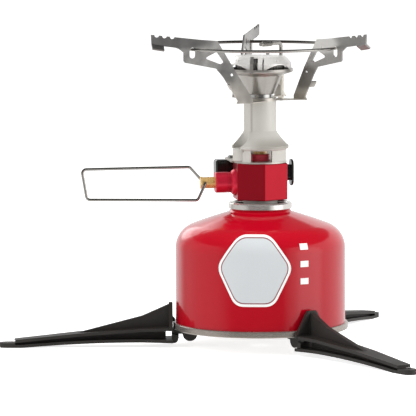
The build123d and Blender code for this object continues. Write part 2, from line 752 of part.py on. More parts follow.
with BuildPart() as jet:
    with BuildSketch(Plane.XY.offset(filter_foot + 1.6)):
        Circle(JET_STUB_R - FIT)
    extrude(amount=jet_seat - filter_foot - 1.6)
    with BuildSketch(Plane.XY.offset(jet_seat)):
        RegularPolygon(JET_FLATS / 2, 6, major_radius=False)
    extrude(amount=JET_H)
    with Locations((0, 0, jet_seat + JET_H)):
        CounterBoreHole(0.35, 1.0, 1.2)
save(jet.part, "jet", STOVE_TURN)

# Bracket clamped under the column, with a tongue over the igniter
igniter_front = HEX_FLATS / sqrt(3) + 0.1
igniter_mid = igniter_front + IGNITER_W / 2
screw_x = IGNITER_SHIFT - IGNITER_LEN / 4
tongue_w, tongue_reach = BRACKET_TONGUE
with BuildPart() as igniter_bracket:
    with BuildSketch(Plane.XY.offset(hex_top)) as plate:
        Circle(BRACKET_R)
        with Locations((IGNITER_SHIFT - 2.0, 0)):
            Rectangle(tongue_w, tongue_reach, align=(Align.CENTER, Align.MIN))
        fillet(plate.vertices().group_by(Axis.Y)[-1], 2.5)
        Circle(JET_BOSS_R + SLIP, mode=Mode.SUBTRACT)
        with Locations(*screw_spots):
            Circle(SCREW_R + 0.15, mode=Mode.SUBTRACT)
        with Locations((screw_x, igniter_mid)):
            Circle(BRACKET_SCREW_R, mode=Mode.SUBTRACT)
    extrude(amount=BRACKET_T)
save(igniter_bracket.part, "igniter_bracket", STOVE_TURN)

igniter_z = hex_top - IGNITER_H / 2
button_face = IGNITER_SHIFT + IGNITER_LEN / 2
with BuildPart() as igniter_housing:
    with BuildSketch(Plane.YZ.offset(button_face - IGNITER_LEN)):
        with Locations((igniter_mid, igniter_z)):
            RectangleRounded(IGNITER_W, IGNITER_H, IGNITER_ROUND)
    extrude(amount=IGNITER_LEN)
    chamfer(edges().filter_by(Plane.YZ).group_by(Axis.X)[0], 0.8)
    with BuildSketch(Plane.YZ.offset(button_face)):
        with Locations((igniter_mid, igniter_z)):
            RectangleRounded(BUTTON_W + SLIP, BUTTON_H + SLIP, IGNITER_ROUND)
    extrude(amount=-(BUTTON_DEEP + BUTTON_TRAVEL + SLIP), mode=Mode.SUBTRACT)
    with Locations((screw_x, igniter_mid, hex_top)):
        Hole(BRACKET_SCREW_R, depth=4.0)
save(igniter_housing.part, "igniter_housing", STOVE_TURN)

with BuildPart() as igniter_button:
    with BuildSketch(Plane.YZ.offset(button_face - BUTTON_DEEP)):
        with Locations((igniter_mid, igniter_z)):
            RectangleRounded(BUTTON_W, BUTTON_H, IGNITER_ROUND)
    extrude(amount=BUTTON_DEEP + BUTTON_TRAVEL + SLIP)
    with BuildSketch(Plane.YZ.offset(button_face + BUTTON_TRAVEL + SLIP)):
        with Locations((igniter_mid, igniter_z)):
            RectangleRounded(BUTTON_HEAD_W, BUTTON_HEAD_H, 2.5 * BUTTON_HEAD)
    extrude(amount=BUTTON_HEAD)
    fillet(faces().sort_by(Axis.X)[-1].edges(), 0.6 * BUTTON_HEAD)
save(igniter_button.part, "igniter_button", STOVE_TURN)

with BuildPart() as bracket_screw:
    with BuildSketch(Plane.XY.offset(hex_top - 3.8)):
        with Locations((screw_x, igniter_mid)):
            Circle(BRACKET_SCREW_R)
    extrude(amount=3.8 + BRACKET_T)
    with BuildSketch(Plane.XY.offset(column_foot)):
        with Locations((screw_x, igniter_mid)):
            Circle(BRACKET_SCREW_HEAD_R)
    extrude(amount=1.3)
    fillet(faces().sort_by(Axis.Z)[-1].edges(), 0.6)
save(bracket_screw.part, "bracket_screw", STOVE_TURN)

# Mixing column: windowed foot, lip, concave flare and tube, turned in one profile
chamber_r = COLUMN_R - COLUMN_WALL
head_seat = lip_foot - SCREW_SEAT
with BuildPart() as mixing_column:
    with BuildSketch(Plane.XZ):
        with BuildLine():
            Polyline(
                (chamber_r, column_foot),
                (COLUMN_R, column_foot),
                (COLUMN_R, lip_foot - 0.8),
                (LIP_R, lip_foot),
                (LIP_R, lip_top - 0.4),
                (FLARE_R, lip_top),
            )
            ThreePointArc(
                (FLARE_R, lip_top),
                (TUBE_R + 0.38 * (FLARE_R - TUBE_R), lip_top + 0.55 * FLARE_H),
                (TUBE_R, flare_top),
            )
            Polyline(
                (TUBE_R, flare_top),
                (TUBE_R, tube_top),
                (NECK_SPIGOT_R, tube_top),
                (NECK_SPIGOT_R, cup_foot + HEAD_SHEET + NUT_H),
                (TUBE_BORE_R, cup_foot + HEAD_SHEET + NUT_H),
                (TUBE_BORE_R, flare_top),
                (chamber_r, lip_foot),
                (chamber_r, column_foot),
            )
        make_face()
    revolve(axis=Axis.Z)
    # Air windows between three pillars
    with BuildSketch(Plane.XY.offset(column_foot)):
        with PolarLocations(COLUMN_R, WINDOW_COUNT, start_angle=WINDOW_TURN):
            Rectangle(2 * COLUMN_WALL + chamber_r, WINDOW_W)
    extrude(amount=COLUMN_FOOT_H - 0.9, mode=Mode.SUBTRACT)
    # Pocket above each screw, which runs up the tube as the driver's groove
    with BuildSketch(Plane.XY.offset(head_seat)):
        with Locations(*screw_spots):
            Circle(POCKET_R)
    extrude(amount=tube_top - head_seat, mode=Mode.SUBTRACT)
    with BuildSketch(Plane.XY.offset(column_foot)):
        with Locations(*screw_spots):
            Circle(SCREW_R + 0.15)
    extrude(amount=head_seat - column_foot, mode=Mode.SUBTRACT)
save(mixing_column.part, "mixing_column", STOVE_TURN)

with BuildPart() as column_screws:
    with BuildSketch(Plane.XY.offset(hex_top - SCREW_DEEP + 0.5)):
        with Locations(*screw_spots):
            Circle(SCREW_R)
    extrude(amount=head_seat - hex_top + SCREW_DEEP - 0.5)
    with BuildSketch(Plane.XY.offset(head_seat)):
        with Locations(*screw_spots):
            Circle(SCREW_HEAD_R)
    extrude(amount=SCREW_HEAD_H)
    fillet(edges().group_by(Axis.Z)[-1], 0.6)
    with BuildSketch(Plane.XY.offset(head_seat + SCREW_HEAD_H)):
        with Locations(*screw_spots):
            Rectangle(2 * SCREW_HEAD_R, 0.7, rotation=40)
    extrude(amount=-0.7, mode=Mode.SUBTRACT)
save(column_screws.part, "column_screws", STOVE_TURN)

# Pot arms: a pressed plate beside the radius, its foot bent to a ring on the neck
ring_cross = sqrt(RING_R**2 - ARM_OFFSET**2)
foot_in, foot_out = ARM_FOOT
slot_top = ring_z + RING_WIRE / 2 + 0.25
blade_z = arm_tip_z - ARM_TIP_H


def arm(level):
    """One pot arm along +X. The level is its ring's place in the stack on the neck."""
    ring_foot = tube_top + level * ARM_RING_T
    foot_y = ARM_OFFSET + (ARM_CREASE - ring_foot) * tan(radians(ARM_FOLD))
    knee_u, knee_z = foot_out + ARM_KNEE[0], ring_z - ARM_KNEE[1]
    lug_u, lug_z = ring_cross + ARM_LUG[0], ring_z - ARM_LUG[1]
    plate_plane = Plane.XZ.offset(-ARM_OFFSET - ARM_SHEET / 2)
    fold_axis = Axis((0, ARM_OFFSET, ARM_CREASE), (1, 0, 0))
    with BuildPart() as blank:
        with BuildSketch(plate_plane):
            with BuildLine():
                Polyline(
                    (foot_out, ring_foot),
                    (foot_in, ring_foot),
                    (foot_in, ring_foot + 2.0),
                    (foot_in + ARM_LEAN, arm_tip_z - ARM_CORNER),
                    (foot_in + ARM_LEAN + ARM_TOP[0], arm_tip_z - ARM_TOP[1]),
                    (ARM_REACH, arm_tip_z),
                    (ARM_REACH - 0.3, blade_z),
                    (ring_cross + 7.9, blade_z - 1.9),
                    (lug_u, ring_z - 1.4),
                    (lug_u, lug_z + 1.8),
                )
                ThreePointArc(
                    (lug_u, lug_z + 1.8),
                    (lug_u - 0.5, lug_z + 0.5),
                    (lug_u - 1.9, lug_z),
                )
                Polyline(
                    (lug_u - 1.9, lug_z),
                    (foot_in + ARM_LEAN + 0.6, ring_z - ARM_WAIST),
                    (knee_u, knee_z),
                    (foot_out - 0.8, ring_foot + 1.4),
                    (foot_out, ring_foot),
                )
            make_face()
            # Teeth near the tip, ring slot, lightening window and pin hole
            tooth_slope = ARM_TOP[1] / (ARM_REACH - foot_in - ARM_LEAN - ARM_TOP[0])
            for n in range(TOOTH_COUNT):
                back = (n + 0.75) * TOOTH_PITCH
                with Locations((ARM_REACH - back, arm_tip_z - back * tooth_slope + 0.15)):
                    Circle(TOOTH_R, mode=Mode.SUBTRACT)
            with Locations((ring_cross, slot_top - SLOT_H / 2)):
                SlotOverall(SLOT_H, SLOT_W, rotation=90, mode=Mode.SUBTRACT)
            with BuildLine():
                FilletPolyline(
                    (ring_cross - 6.6, ring_z - 4.6),
                    (ring_cross - 13.1, ring_z - 1.4),
                    (ring_cross - 16.9, ring_z - 6.9),
                    (ring_cross - 15.2, ring_z - 7.9),
                    radius=0.6,
                    close=True,
                )
            make_face(mode=Mode.SUBTRACT)
            with Locations((foot_in + ARM_PIN[0], ring_foot + ARM_PIN[1])):
                Circle(0.75, mode=Mode.SUBTRACT)
        extrude(amount=ARM_SHEET)
        # Pressed oval dimple on the plate's inner face
        with BuildSketch(Plane.XZ.offset(-ARM_OFFSET + ARM_SHEET / 2)):
            with Locations((foot_in + ARM_LEAN + 4.2, arm_tip_z - 7.4)):
                SlotOverall(3.4, 1.5, rotation=80)
        extrude(amount=-ARM_DIMPLE, mode=Mode.SUBTRACT)
    # Fold the shank below the crease, with a round bend between
    crease = Plane.XY.offset(ARM_CREASE)
    blade = split(blank.part, crease, keep=Keep.TOP)
    shank = split(blank.part, crease, keep=Keep.BOTTOM).rotate(fold_axis, ARM_FOLD)
    crease_edge = split(blank.part, crease, keep=Keep.TOP).faces().sort_by(Axis.Z)[0].bounding_box()
    with BuildPart() as piece:
        add(blade)
        add(shank)
        with BuildSketch(Plane.YZ.offset(crease_edge.min.X + 0.02)):
            with Locations((ARM_OFFSET, ARM_CREASE)):
                Circle(ARM_SHEET / 2)
        extrude(amount=crease_edge.max.X - crease_edge.min.X - 0.04)
        # Ring on the neck and the tongue to the shank's foot
        with BuildSketch(Plane.XY.offset(ring_foot)):
            Circle(ARM_RING_R)
            with BuildLine():
                Polyline(
                    (foot_in, foot_y + ARM_SHEET / 2),
                    (foot_out, foot_y + ARM_SHEET / 2),
                    (ARM_RING_R - 0.3, 1.5),
                    (-2.0, ARM_RING_R - 0.4),
                    close=True,
                )
            make_face()
            Circle(NECK_SPIGOT_R + FIT, mode=Mode.SUBTRACT)
        extrude(amount=ARM_RING_T)
        # Lip folded out under the tip
        lip_plane = Plane(
            origin=(ARM_REACH - 6.7, ARM_OFFSET, blade_z - 1.1), x_dir=(0, 1, 0), z_dir=(6.4, 0, 1.05)
        )
        with BuildSketch(lip_plane):
            with BuildLine():
                Polyline(
                    (-ARM_SHEET / 2, 0.5),
                    (-ARM_SHEET / 2, -0.2),
                    (2.6, -2.4),
                    (3.2, -1.7),
                    (0.45, 0.6),
                    close=True,
                )
            make_face()
        extrude(amount=6.4)
        # Stop tab folded from the shank's outer edge
        stop_z = (knee_z + ring_foot) / 2 + 1.8
        stop_share = (stop_z - ring_foot - 1.4) / (knee_z - ring_foot - 1.4)
        stop_u = foot_out - 0.8 + stop_share * (knee_u - foot_out + 0.8)
        stop_y = ARM_OFFSET + (ARM_CREASE - stop_z) * tan(radians(ARM_FOLD))
        edge_turn = degrees(atan2(knee_z - ring_foot - 1.4, knee_u - foot_out + 0.8))
        with BuildSketch(Plane.XZ.offset(-stop_y + ARM_SHEET / 2)):
            with Locations((stop_u - 0.1, stop_z)):
                Rectangle(ARM_STOP_W, ARM_SHEET, rotation=edge_turn)
        extrude(amount=-ARM_STOP)
    return piece.part


for layer, (arm_name, arm_azimuth) in enumerate(ARM_AZIMUTHS.items()):
    save(arm(layer), arm_name, arm_azimuth)

with BuildPart() as pot_ring:
    with BuildSketch(Plane.XZ):
        with Locations((RING_R, ring_z)):
            Circle(RING_WIRE / 2)
    revolve(axis=Axis.Z)
save(pot_ring.part, "pot_ring")

# Electrode: strip on the neck, ceramic post, and the wire over the burner
strip_end = ELECTRODE_AT
upright_at = ELECTRODE_AT - INSULATOR_R - STRIP_IN
with BuildPart() as electrode_bracket:
    with BuildSketch(Plane.XY.offset(strip_foot)):
        Circle(ARM_RING_R)
        Rectangle(strip_end, STRIP_W, align=(Align.MIN, Align.CENTER))
        with Locations((ELECTRODE_AT, 0)):
            Circle(INSULATOR_R + 1.2)
        Circle(NECK_SPIGOT_R + FIT, mode=Mode.SUBTRACT)
        with Locations((ELECTRODE_AT, 0)):
            Circle(INSULATOR_R + FIT, mode=Mode.SUBTRACT)
    extrude(amount=STRIP_T)
    with BuildSketch(Plane.YZ.offset(upright_at)):
        with Locations((0, strip_foot)):
            Rectangle(STRIP_W, 0.6 * STRIP_UP, align=(Align.CENTER, Align.MIN))
            Rectangle(0.5 * STRIP_W, STRIP_UP, align=(Align.CENTER, Align.MIN))
    extrude(amount=STRIP_T)
save(electrode_bracket.part, "electrode_bracket", ELECTRODE_AZIMUTH)

# Polished spacer that keeps the burner off the arms' rings
with BuildPart() as neck_spacer:
    with BuildSketch(Plane.XY.offset(spacer_foot)):
        Circle(SPACER_R)
        Circle(NECK_SPIGOT_R + FIT, mode=Mode.SUBTRACT)
    extrude(amount=SPACER_H)
save(neck_spacer.part, "neck_spacer")

post_top = dish_top + 3.6
foot_below = 1.2
with BuildPart() as electrode_insulator:
    with BuildSketch(Plane.XY.offset(strip_foot - foot_below)):
        with Locations((ELECTRODE_AT, 0)):
            Circle(INSULATOR_R)
    extrude(amount=post_top - strip_foot + foot_below)
    with BuildSketch(Plane.XY.offset(strip_foot + STRIP_T)):
        with Locations((ELECTRODE_AT, 0)):
            Circle(INSULATOR_COLLAR_R)
    extrude(amount=1.4)
    with Locations((ELECTRODE_AT, 0, post_top)):
        Hole(ELECTRODE_R)
save(electrode_insulator.part, "electrode_insulator", ELECTRODE_AZIMUTH)

wire_top = ring_z + ELECTRODE_UP
with BuildPart() as electrode:
    with BuildLine() as bent:
        FilletPolyline(
            (ELECTRODE_AT, 0, strip_foot - 2 * foot_below),
            (ELECTRODE_AT, 0, wire_top),
            (ELECTRODE_AT - ELECTRODE_OVER, 0, wire_top),
            radius=2.5,
        )
    with BuildSketch(Plane(origin=bent.line @ 0, z_dir=bent.line % 0)):
        Circle(ELECTRODE_R)
    sweep()
save(electrode.part, "electrode", ELECTRODE_AZIMUTH)

# Burner head: pressed cup with four crimped tabs, gauze, slotted cap and nut
cap_r = DISH_R - HEAD_SHEET - CAP_GAP
cap_foot = dish_top - 1.2
cap_top = cap_foot + CAP_H
bevel_foot = cap_top - CAP_BEVEL
# One crimped tab: it rises outside the cap and folds down on the bevel
with BuildPart() as crimp_tab:
    with BuildSketch(Plane.XZ.offset(TAB_SIDE)):
        with BuildLine():
            Polyline(
                (DISH_R - HEAD_SHEET + 0.05, dish_top - 1.0),
                (DISH_R - 0.3, dish_top - 1.7),
                (DISH_R + TAB_OUT, dish_top - 1.7),
                (DISH_R + TAB_OUT, bevel_foot + 0.2),
                (CAP_TOP_R + 1.5, cap_top + 0.5),
                (CAP_TOP_R + 1.1, cap_top),
                (DISH_R - HEAD_SHEET + 0.05, bevel_foot + 0.2),
                close=True,
            )
        make_face()
    extrude(amount=TAB_W)

with BuildPart() as burner_cup:
    with BuildSketch(Plane.XZ):
        with BuildLine():
            FilletPolyline(
                (NECK_SPIGOT_R + FIT, cup_foot),
                (CUP_FOOT_R, cup_foot),
                (CUP_TOP_R, dish_foot),
                (DISH_R, dish_foot + 0.5 * DISH_H),
                (DISH_R, dish_top),
                radius=0.8,
            )
            offset(amount=HEAD_SHEET, side=Side.LEFT)
        make_face()
    revolve(axis=Axis.Z)
    with PolarLocations(0, CAP_SLOT_COUNT):
        add(crimp_tab.part)
save(burner_cup.part, "burner_cup", CAP_TURN)

gauze_z = dish_foot + HEAD_SHEET + 0.35
with BuildPart() as burner_gauze:
    with BuildSketch(Plane.XY.offset(gauze_z)):
        Circle(CUP_TOP_R + 0.3)
        for ring_of_holes, holes in ((4.0, 6), (8.5, 12)):
            with PolarLocations(ring_of_holes, holes):
                Circle(1.1, mode=Mode.SUBTRACT)
    extrude(amount=0.4)
save(burner_gauze.part, "burner_gauze", CAP_TURN)

# Arched flame port, cut through the cap's skirt in each lobe
with BuildPart() as flame_port:
    with BuildSketch(Plane.YZ.offset(CUP_TOP_R)):
        with BuildLine():
            Line((-PORT_W / 2, dish_top - 0.2), (PORT_W / 2, dish_top - 0.2))
            ThreePointArc(
                (-PORT_W / 2, dish_top - 0.2), (0, dish_top + PORT_H), (PORT_W / 2, dish_top - 0.2)
            )
        make_face()
    extrude(amount=DISH_R - CUP_TOP_R)

with BuildPart() as burner_cap:
    with BuildSketch(Plane.XZ):
        with BuildLine():
            Polyline((0, cap_top), (CAP_TOP_R, cap_top), (cap_r, bevel_foot), (cap_r, cap_foot))
            offset(amount=HEAD_SHEET, side=Side.RIGHT)
        make_face()
    revolve(axis=Axis.Z)
    # Front and back slots, each with a slit that leaves a pillar between
    for edge, width in ((CAP_SLOT_AT - CAP_SLOT_W, CAP_SLOT_W), (CAP_SLOT_AT + PILLAR_W, CAP_SLIT_W)):
        with BuildSketch(Plane.XY.offset(dish_top - 0.2)) as cut:
            with Locations((cap_r, edge + width / 2)):
                Rectangle(2 * CAP_SLOT_DEEP, width)
        slot_tool = extrude(cut.sketch, amount=CAP_H, mode=Mode.PRIVATE)
        with PolarLocations(0, CAP_SLOT_COUNT):
            add(slot_tool, mode=Mode.SUBTRACT)
    # One arched flame port and two pierced holes in each lobe
    with PolarLocations(0, LOBE_COUNT, start_angle=180 / LOBE_COUNT):
        add(flame_port.part, mode=Mode.SUBTRACT)
    for pierce in (-4.5, 4.5):
        with BuildSketch(Plane.XY.offset(bevel_foot)):
            with PolarLocations(
                (CAP_TOP_R + cap_r) / 2, LOBE_COUNT, start_angle=180 / LOBE_COUNT + pierce
            ):
                Circle(CAP_PIERCE_R)
        extrude(amount=CAP_BEVEL, mode=Mode.SUBTRACT)
save(burner_cap.part, "burner_cap", CAP_TURN)

with BuildPart() as burner_nut:
    with BuildSketch(Plane.XY.offset(cup_foot + HEAD_SHEET)):
        Circle(NUT_R)
        Circle(NECK_SPIGOT_R, mode=Mode.SUBTRACT)
    extrude(amount=NUT_H)
save(burner_nut.part, "burner_nut", CAP_TURN)
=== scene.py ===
# %% [markdown]
# # A camping stove on its gas canister
# The solids come from the CAD model, already in metres and in place. This lesson dresses them: it gives
# every metal, paint and plastic its own finish, adds the small things that are printed, threaded or
# ribbed, and lights the whole as a studio photograph on white.

# %% Load the solids
import math

import bmesh
import bpy
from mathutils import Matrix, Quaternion, Vector


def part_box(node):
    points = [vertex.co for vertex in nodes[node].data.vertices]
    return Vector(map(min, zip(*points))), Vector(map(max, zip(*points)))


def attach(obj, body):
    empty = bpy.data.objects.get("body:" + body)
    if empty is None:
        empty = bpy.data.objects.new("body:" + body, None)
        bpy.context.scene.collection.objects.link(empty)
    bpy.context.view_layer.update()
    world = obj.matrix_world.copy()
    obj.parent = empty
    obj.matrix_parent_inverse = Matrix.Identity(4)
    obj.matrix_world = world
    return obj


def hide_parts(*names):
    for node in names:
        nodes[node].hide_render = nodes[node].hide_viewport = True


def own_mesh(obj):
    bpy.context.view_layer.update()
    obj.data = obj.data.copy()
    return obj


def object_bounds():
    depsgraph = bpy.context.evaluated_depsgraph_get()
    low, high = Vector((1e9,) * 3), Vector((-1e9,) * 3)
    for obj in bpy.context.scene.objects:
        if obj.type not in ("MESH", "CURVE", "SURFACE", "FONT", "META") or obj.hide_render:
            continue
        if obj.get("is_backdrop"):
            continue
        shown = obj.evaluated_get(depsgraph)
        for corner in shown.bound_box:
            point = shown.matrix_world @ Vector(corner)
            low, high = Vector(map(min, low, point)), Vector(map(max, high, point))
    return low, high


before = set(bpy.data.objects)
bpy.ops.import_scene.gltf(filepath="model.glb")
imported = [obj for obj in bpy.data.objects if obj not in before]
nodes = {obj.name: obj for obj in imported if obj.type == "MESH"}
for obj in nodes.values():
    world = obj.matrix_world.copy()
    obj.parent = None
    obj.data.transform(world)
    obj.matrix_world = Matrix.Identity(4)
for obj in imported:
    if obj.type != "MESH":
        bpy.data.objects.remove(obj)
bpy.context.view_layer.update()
MM = 0.001

# %% [markdown]
# ## Helpers for every finish
# Colours are picked as screen values, so one function turns a hex colour into the linear numbers that
# shaders work in. A second small function adds any node: its settings are properties, and its inputs are
# either plain values or the output of another node. The other three start a material, link its pattern to
# its shader and give it to solids.

# %% Helpers for colours and nodes
def colour(hex_value):
    """A screen colour such as C4061F as linear red, green, blue and alpha."""
    parts = [int(hex_value[i:i + 2], 16) / 255 for i in (0, 2, 4)]
    return [c / 12.92 if c <= 0.04045 else ((c + 0.055) / 1.055) ** 2.4 for c in parts] + [1.0]


def add(tree, kind, inputs=None, **settings):
    """Add one node to a tree, set its properties, and fill or link its inputs."""
    node = tree.nodes.new(kind)
    for key, value in settings.items():
        setattr(node, key, value)
    for key, value in (inputs or {}).items():
        if isinstance(value, bpy.types.NodeSocket):
            tree.links.new(value, node.inputs[key])
        else:
            node.inputs[key].default_value = value
    return node


def surface(name, **values):
    """A new material: its tree, its shader with constant sockets set, and its Object coordinates."""
    made = bpy.data.materials.new(name)
    made.use_nodes = True
    tree = made.node_tree
    shader = tree.nodes["Principled BSDF"]
    for key, value in values.items():
        shader.inputs[key.replace("_", " ")].default_value = value
    place = add(tree, "ShaderNodeTexCoord").outputs["Object"]
    return made, tree, shader, place


def connect(tree, shader, tone, dull, ripple=None):
    """Link a pattern's colour, its roughness and, where there is one, its bump to the shader."""
    tree.links.new(tone.outputs["Result"], shader.inputs["Base Color"])
    tree.links.new(dull.outputs["Result"], shader.inputs["Roughness"])
    if ripple:
        tree.links.new(ripple.outputs["Normal"], shader.inputs["Normal"])


def dress(material, *names):
    """Give a finish to solids of the model."""
    for name in names:
        mesh = nodes[name].data
        mesh.materials.clear()
        mesh.materials.append(material)
    print(material.name, "on", len(names), "solids")


print("screen grey 808080 in linear light:", round(colour("808080")[0], 3))

# %% [markdown]
# ## Lacquered tinplate
# The canister is deep-drawn tinplate, printed red and varnished. The varnish is what the eye reads: a
# sharp, clear coat over a duller colour. Drawing leaves a very faint orange peel, about a millimetre and
# a half across, which softens the edges of each reflection. The ink under the coat is duller in patches.
# The straight side is painted a shade deeper towards the bottom than the shoulder, as painted shade.

# %% Canister paint
red_paint, tree, shader, place = surface(
    "lacquered_tinplate_red", Metallic=0.0, Specular_IOR_Level=0.08, Coat_Weight=0.9, Coat_Roughness=0.05
)
peel = add(tree, "ShaderNodeTexNoise", {"Vector": place, "Scale": 1 / (1.5 * MM), "Detail": 2.0})
clouds = add(tree, "ShaderNodeTexNoise", {"Vector": place, "Scale": 1 / (30 * MM), "Detail": 3.0})
tone = add(tree, "ShaderNodeMix", {
    "Factor": clouds.outputs["Fac"], "A": colour("BA001B"), "B": colour("C2021F")
}, data_type="RGBA")
height = add(tree, "ShaderNodeSeparateXYZ", {"Vector": place})
# Painted shade: the straight side darkens towards the bottom of the can.
painted_low_shade = add(tree, "ShaderNodeMapRange", {
    "Value": height.outputs["Z"], "From Min": 66.0 * MM, "From Max": 50.0 * MM
}, interpolation_type="SMOOTHSTEP")
tone = add(tree, "ShaderNodeMix", {
    "Factor": painted_low_shade.outputs["Result"], "A": tone.outputs["Result"], "B": colour("AE0119")
}, data_type="RGBA")
dull = add(tree, "ShaderNodeMapRange", {
    "Value": clouds.outputs["Fac"], "From Min": 0.3, "From Max": 0.7, "To Min": 0.3, "To Max": 0.4
})
ripple = add(tree, "ShaderNodeBump", {
    "Height": peel.outputs["Fac"], "Strength": 0.03, "Distance": 0.05 * MM
})
connect(tree, shader, tone, dull, ripple)
dress(red_paint, "canister_shell")

# %% [markdown]
# ## Bare tinned steel
# The bottom rim and the valve cup are not printed. They are rolled and spun, so their fine lines run
# round the axis. Noise stretched twenty times sideways draws those lines. The spun cup is smoother than
# the rolled seam.

# %% Rim and valve cup
for name, dark, light, smooth, rough, pieces in (
    ("spun_tinned_steel", "CFCCC6", "E8E6E1", 0.1, 0.18, ["valve_cup", "valve_boss"]),
    ("rolled_tinned_seam", "9C948C", "B4ACA4", 0.2, 0.34, ["canister_base"]),
):
    tinned_steel, tree, shader, place = surface(name, Metallic=0.75)
    stretch = add(tree, "ShaderNodeMapping", {"Vector": place, "Scale": (0.05, 0.05, 1.0)})
    lines = add(tree, "ShaderNodeTexNoise", {
        "Vector": stretch.outputs["Vector"], "Scale": 1 / (0.5 * MM), "Detail": 3.0
    })
    tone = add(tree, "ShaderNodeMix", {
        "Factor": lines.outputs["Fac"], "A": colour(dark), "B": colour(light)
    }, data_type="RGBA")
    dull = add(tree, "ShaderNodeMapRange", {
        "Value": lines.outputs["Fac"], "To Min": smooth, "To Max": rough
    })
    ripple = add(tree, "ShaderNodeBump", {
        "Height": lines.outputs["Fac"], "Strength": 0.15, "Distance": 0.03 * MM
    })
    connect(tree, shader, tone, dull, ripple)
    dress(tinned_steel, *pieces)

# %% [markdown]
# ## Glass-filled nylon
# The stand's legs are moulded black nylon. The tool is spark-eroded, so the skin is a fine matt grain of
# about a third of a millimetre, a little greyer where fingers and ground have rubbed it.

# %% Stand legs
black_nylon, tree, shader, place = surface("moulded_black_nylon", Metallic=0.0, Specular_IOR_Level=0.3)
grain = add(tree, "ShaderNodeTexNoise", {"Vector": place, "Scale": 1 / (0.35 * MM), "Detail": 3.0})
rubbed = add(tree, "ShaderNodeTexNoise", {"Vector": place, "Scale": 1 / (14 * MM), "Detail": 5.0})
tone = add(tree, "ShaderNodeMix", {
    "Factor": rubbed.outputs["Fac"], "A": colour("282624"), "B": colour("383532")
}, data_type="RGBA")
dull = add(tree, "ShaderNodeMapRange", {"Value": rubbed.outputs["Fac"], "To Min": 0.38, "To Max": 0.56})
ripple = add(tree, "ShaderNodeBump", {
    "Height": grain.outputs["Fac"], "Strength": 0.25, "Distance": 0.05 * MM
})
connect(tree, shader, tone, dull, ripple)
dress(black_nylon, "leg_left", "leg_right", "leg_back")

# %% [markdown]
# ## Red anodised aluminium
# The valve block is milled from bar and blasted. Its barrel is turned. Both are dyed red. Anodising keeps
# the metal's reflections but colours them, so a face that sees the dark side of the room goes deep crimson
# and one that sees a lamp goes bright. The barrel's red is painted paler and less metallic than the
# block's, as painted light. The spigot on top of the block stands in the column's shade and is painted
# paler and duller, as painted light.

# %% Valve block and barrel
for name, dark, light, metallic, pieces in (
    ("red_anodised_aluminium", "A00B1F", "AE1126", 0.7, ["valve_body"]),
    # The barrel's copy of the red is painted paler and less metallic: painted light.
    ("red_anodised_turned_bar", "CA1A36", "D82442", 0.4, ["valve_barrel"]),
):
    red_anodised, tree, shader, place = surface(name, Metallic=metallic)
    blast = add(tree, "ShaderNodeTexNoise", {"Vector": place, "Scale": 1 / (0.3 * MM), "Detail": 2.0})
    tone = add(tree, "ShaderNodeMix", {
        "Factor": blast.outputs["Fac"], "A": colour(dark), "B": colour(light)
    }, data_type="RGBA")
    if "valve_body" in pieces:
        # Painted light: the spigot above 97.5 mm, in the column's shade, is painted paler and less
        # metallic.
        height = add(tree, "ShaderNodeSeparateXYZ", {"Vector": place})
        painted_spigot_light = add(tree, "ShaderNodeMapRange", {
            "Value": height.outputs["Z"], "From Min": 97.5 * MM, "From Max": 97.8 * MM
        })
        tone = add(tree, "ShaderNodeMix", {
            "Factor": painted_spigot_light.outputs["Result"], "A": tone.outputs["Result"], "B": colour("F4485E")
        }, data_type="RGBA")
        metal = add(tree, "ShaderNodeMapRange", {
            "Value": painted_spigot_light.outputs["Result"], "To Min": metallic, "To Max": 0.1
        })
        tree.links.new(metal.outputs["Result"], shader.inputs["Metallic"])
    dull = add(tree, "ShaderNodeMapRange", {"Value": blast.outputs["Fac"], "To Min": 0.26, "To Max": 0.36})
    ripple = add(tree, "ShaderNodeBump", {
        "Height": blast.outputs["Fac"], "Strength": 0.1, "Distance": 0.03 * MM
    })
    connect(tree, shader, tone, dull, ripple)
    dress(red_anodised, *pieces)

# %% [markdown]
# ## Stainless sheet
# The pot arms and brackets are blanked from cold-rolled stainless and tumbled, so they are an even satin
# grey. Cold rolling leaves slow waves in thin sheet, so a flat face never reflects quite evenly. Below the
# burner the sheet is painted paler, a painted highlight, and towards the toothed tips it is painted darker,
# a painted reflection of the dim room. Patches of painted shade, and one painted highlight on the right
# arm, stand in for the other reflections in the sheet.

# %% Sheet steel with painted light below and painted dark tips
stainless_sheet, tree, shader, place = surface("tumbled_stainless_sheet", Metallic=0.85)
tumble = add(tree, "ShaderNodeTexNoise", {"Vector": place, "Scale": 1 / (0.6 * MM), "Detail": 4.0})
steel = add(tree, "ShaderNodeMix", {
    "Factor": tumble.outputs["Fac"], "A": colour("A8A6A3"), "B": colour("BEBCB9")
}, data_type="RGBA")
height = add(tree, "ShaderNodeSeparateXYZ", {"Vector": place})
# Painted highlight: the sheet goes paler further below the burner, towards the arms' feet.
painted_low_light = add(tree, "ShaderNodeMapRange", {
    "Value": height.outputs["Z"], "From Min": 148.0 * MM, "From Max": 134.0 * MM, "To Max": 0.8
}, interpolation_type="SMOOTHSTEP")
with_low_light = add(tree, "ShaderNodeMix", {
    "Factor": painted_low_light.outputs["Result"], "A": steel.outputs["Result"], "B": colour("D6D0C6")
}, data_type="RGBA")
flat = add(tree, "ShaderNodeVectorMath", {0: place, 1: (1.0, 1.0, 0.0)}, operation="MULTIPLY")
reach = add(tree, "ShaderNodeVectorMath", {0: flat.outputs["Vector"]}, operation="LENGTH")
# Painted reflection: the sheet darkens towards the toothed tips, away from the axis.
painted_dark_tips = add(tree, "ShaderNodeMapRange", {
    "Value": reach.outputs["Value"], "From Min": 40.0 * MM, "From Max": 62.0 * MM, "To Max": 0.55
}, interpolation_type="SMOOTHSTEP")
tone = add(tree, "ShaderNodeMix", {
    "Factor": painted_dark_tips.outputs["Result"], "A": with_low_light.outputs["Result"], "B": colour("6C6A68")
}, data_type="RGBA")
print("steel, tint and soot:", len(tree.nodes), "nodes")
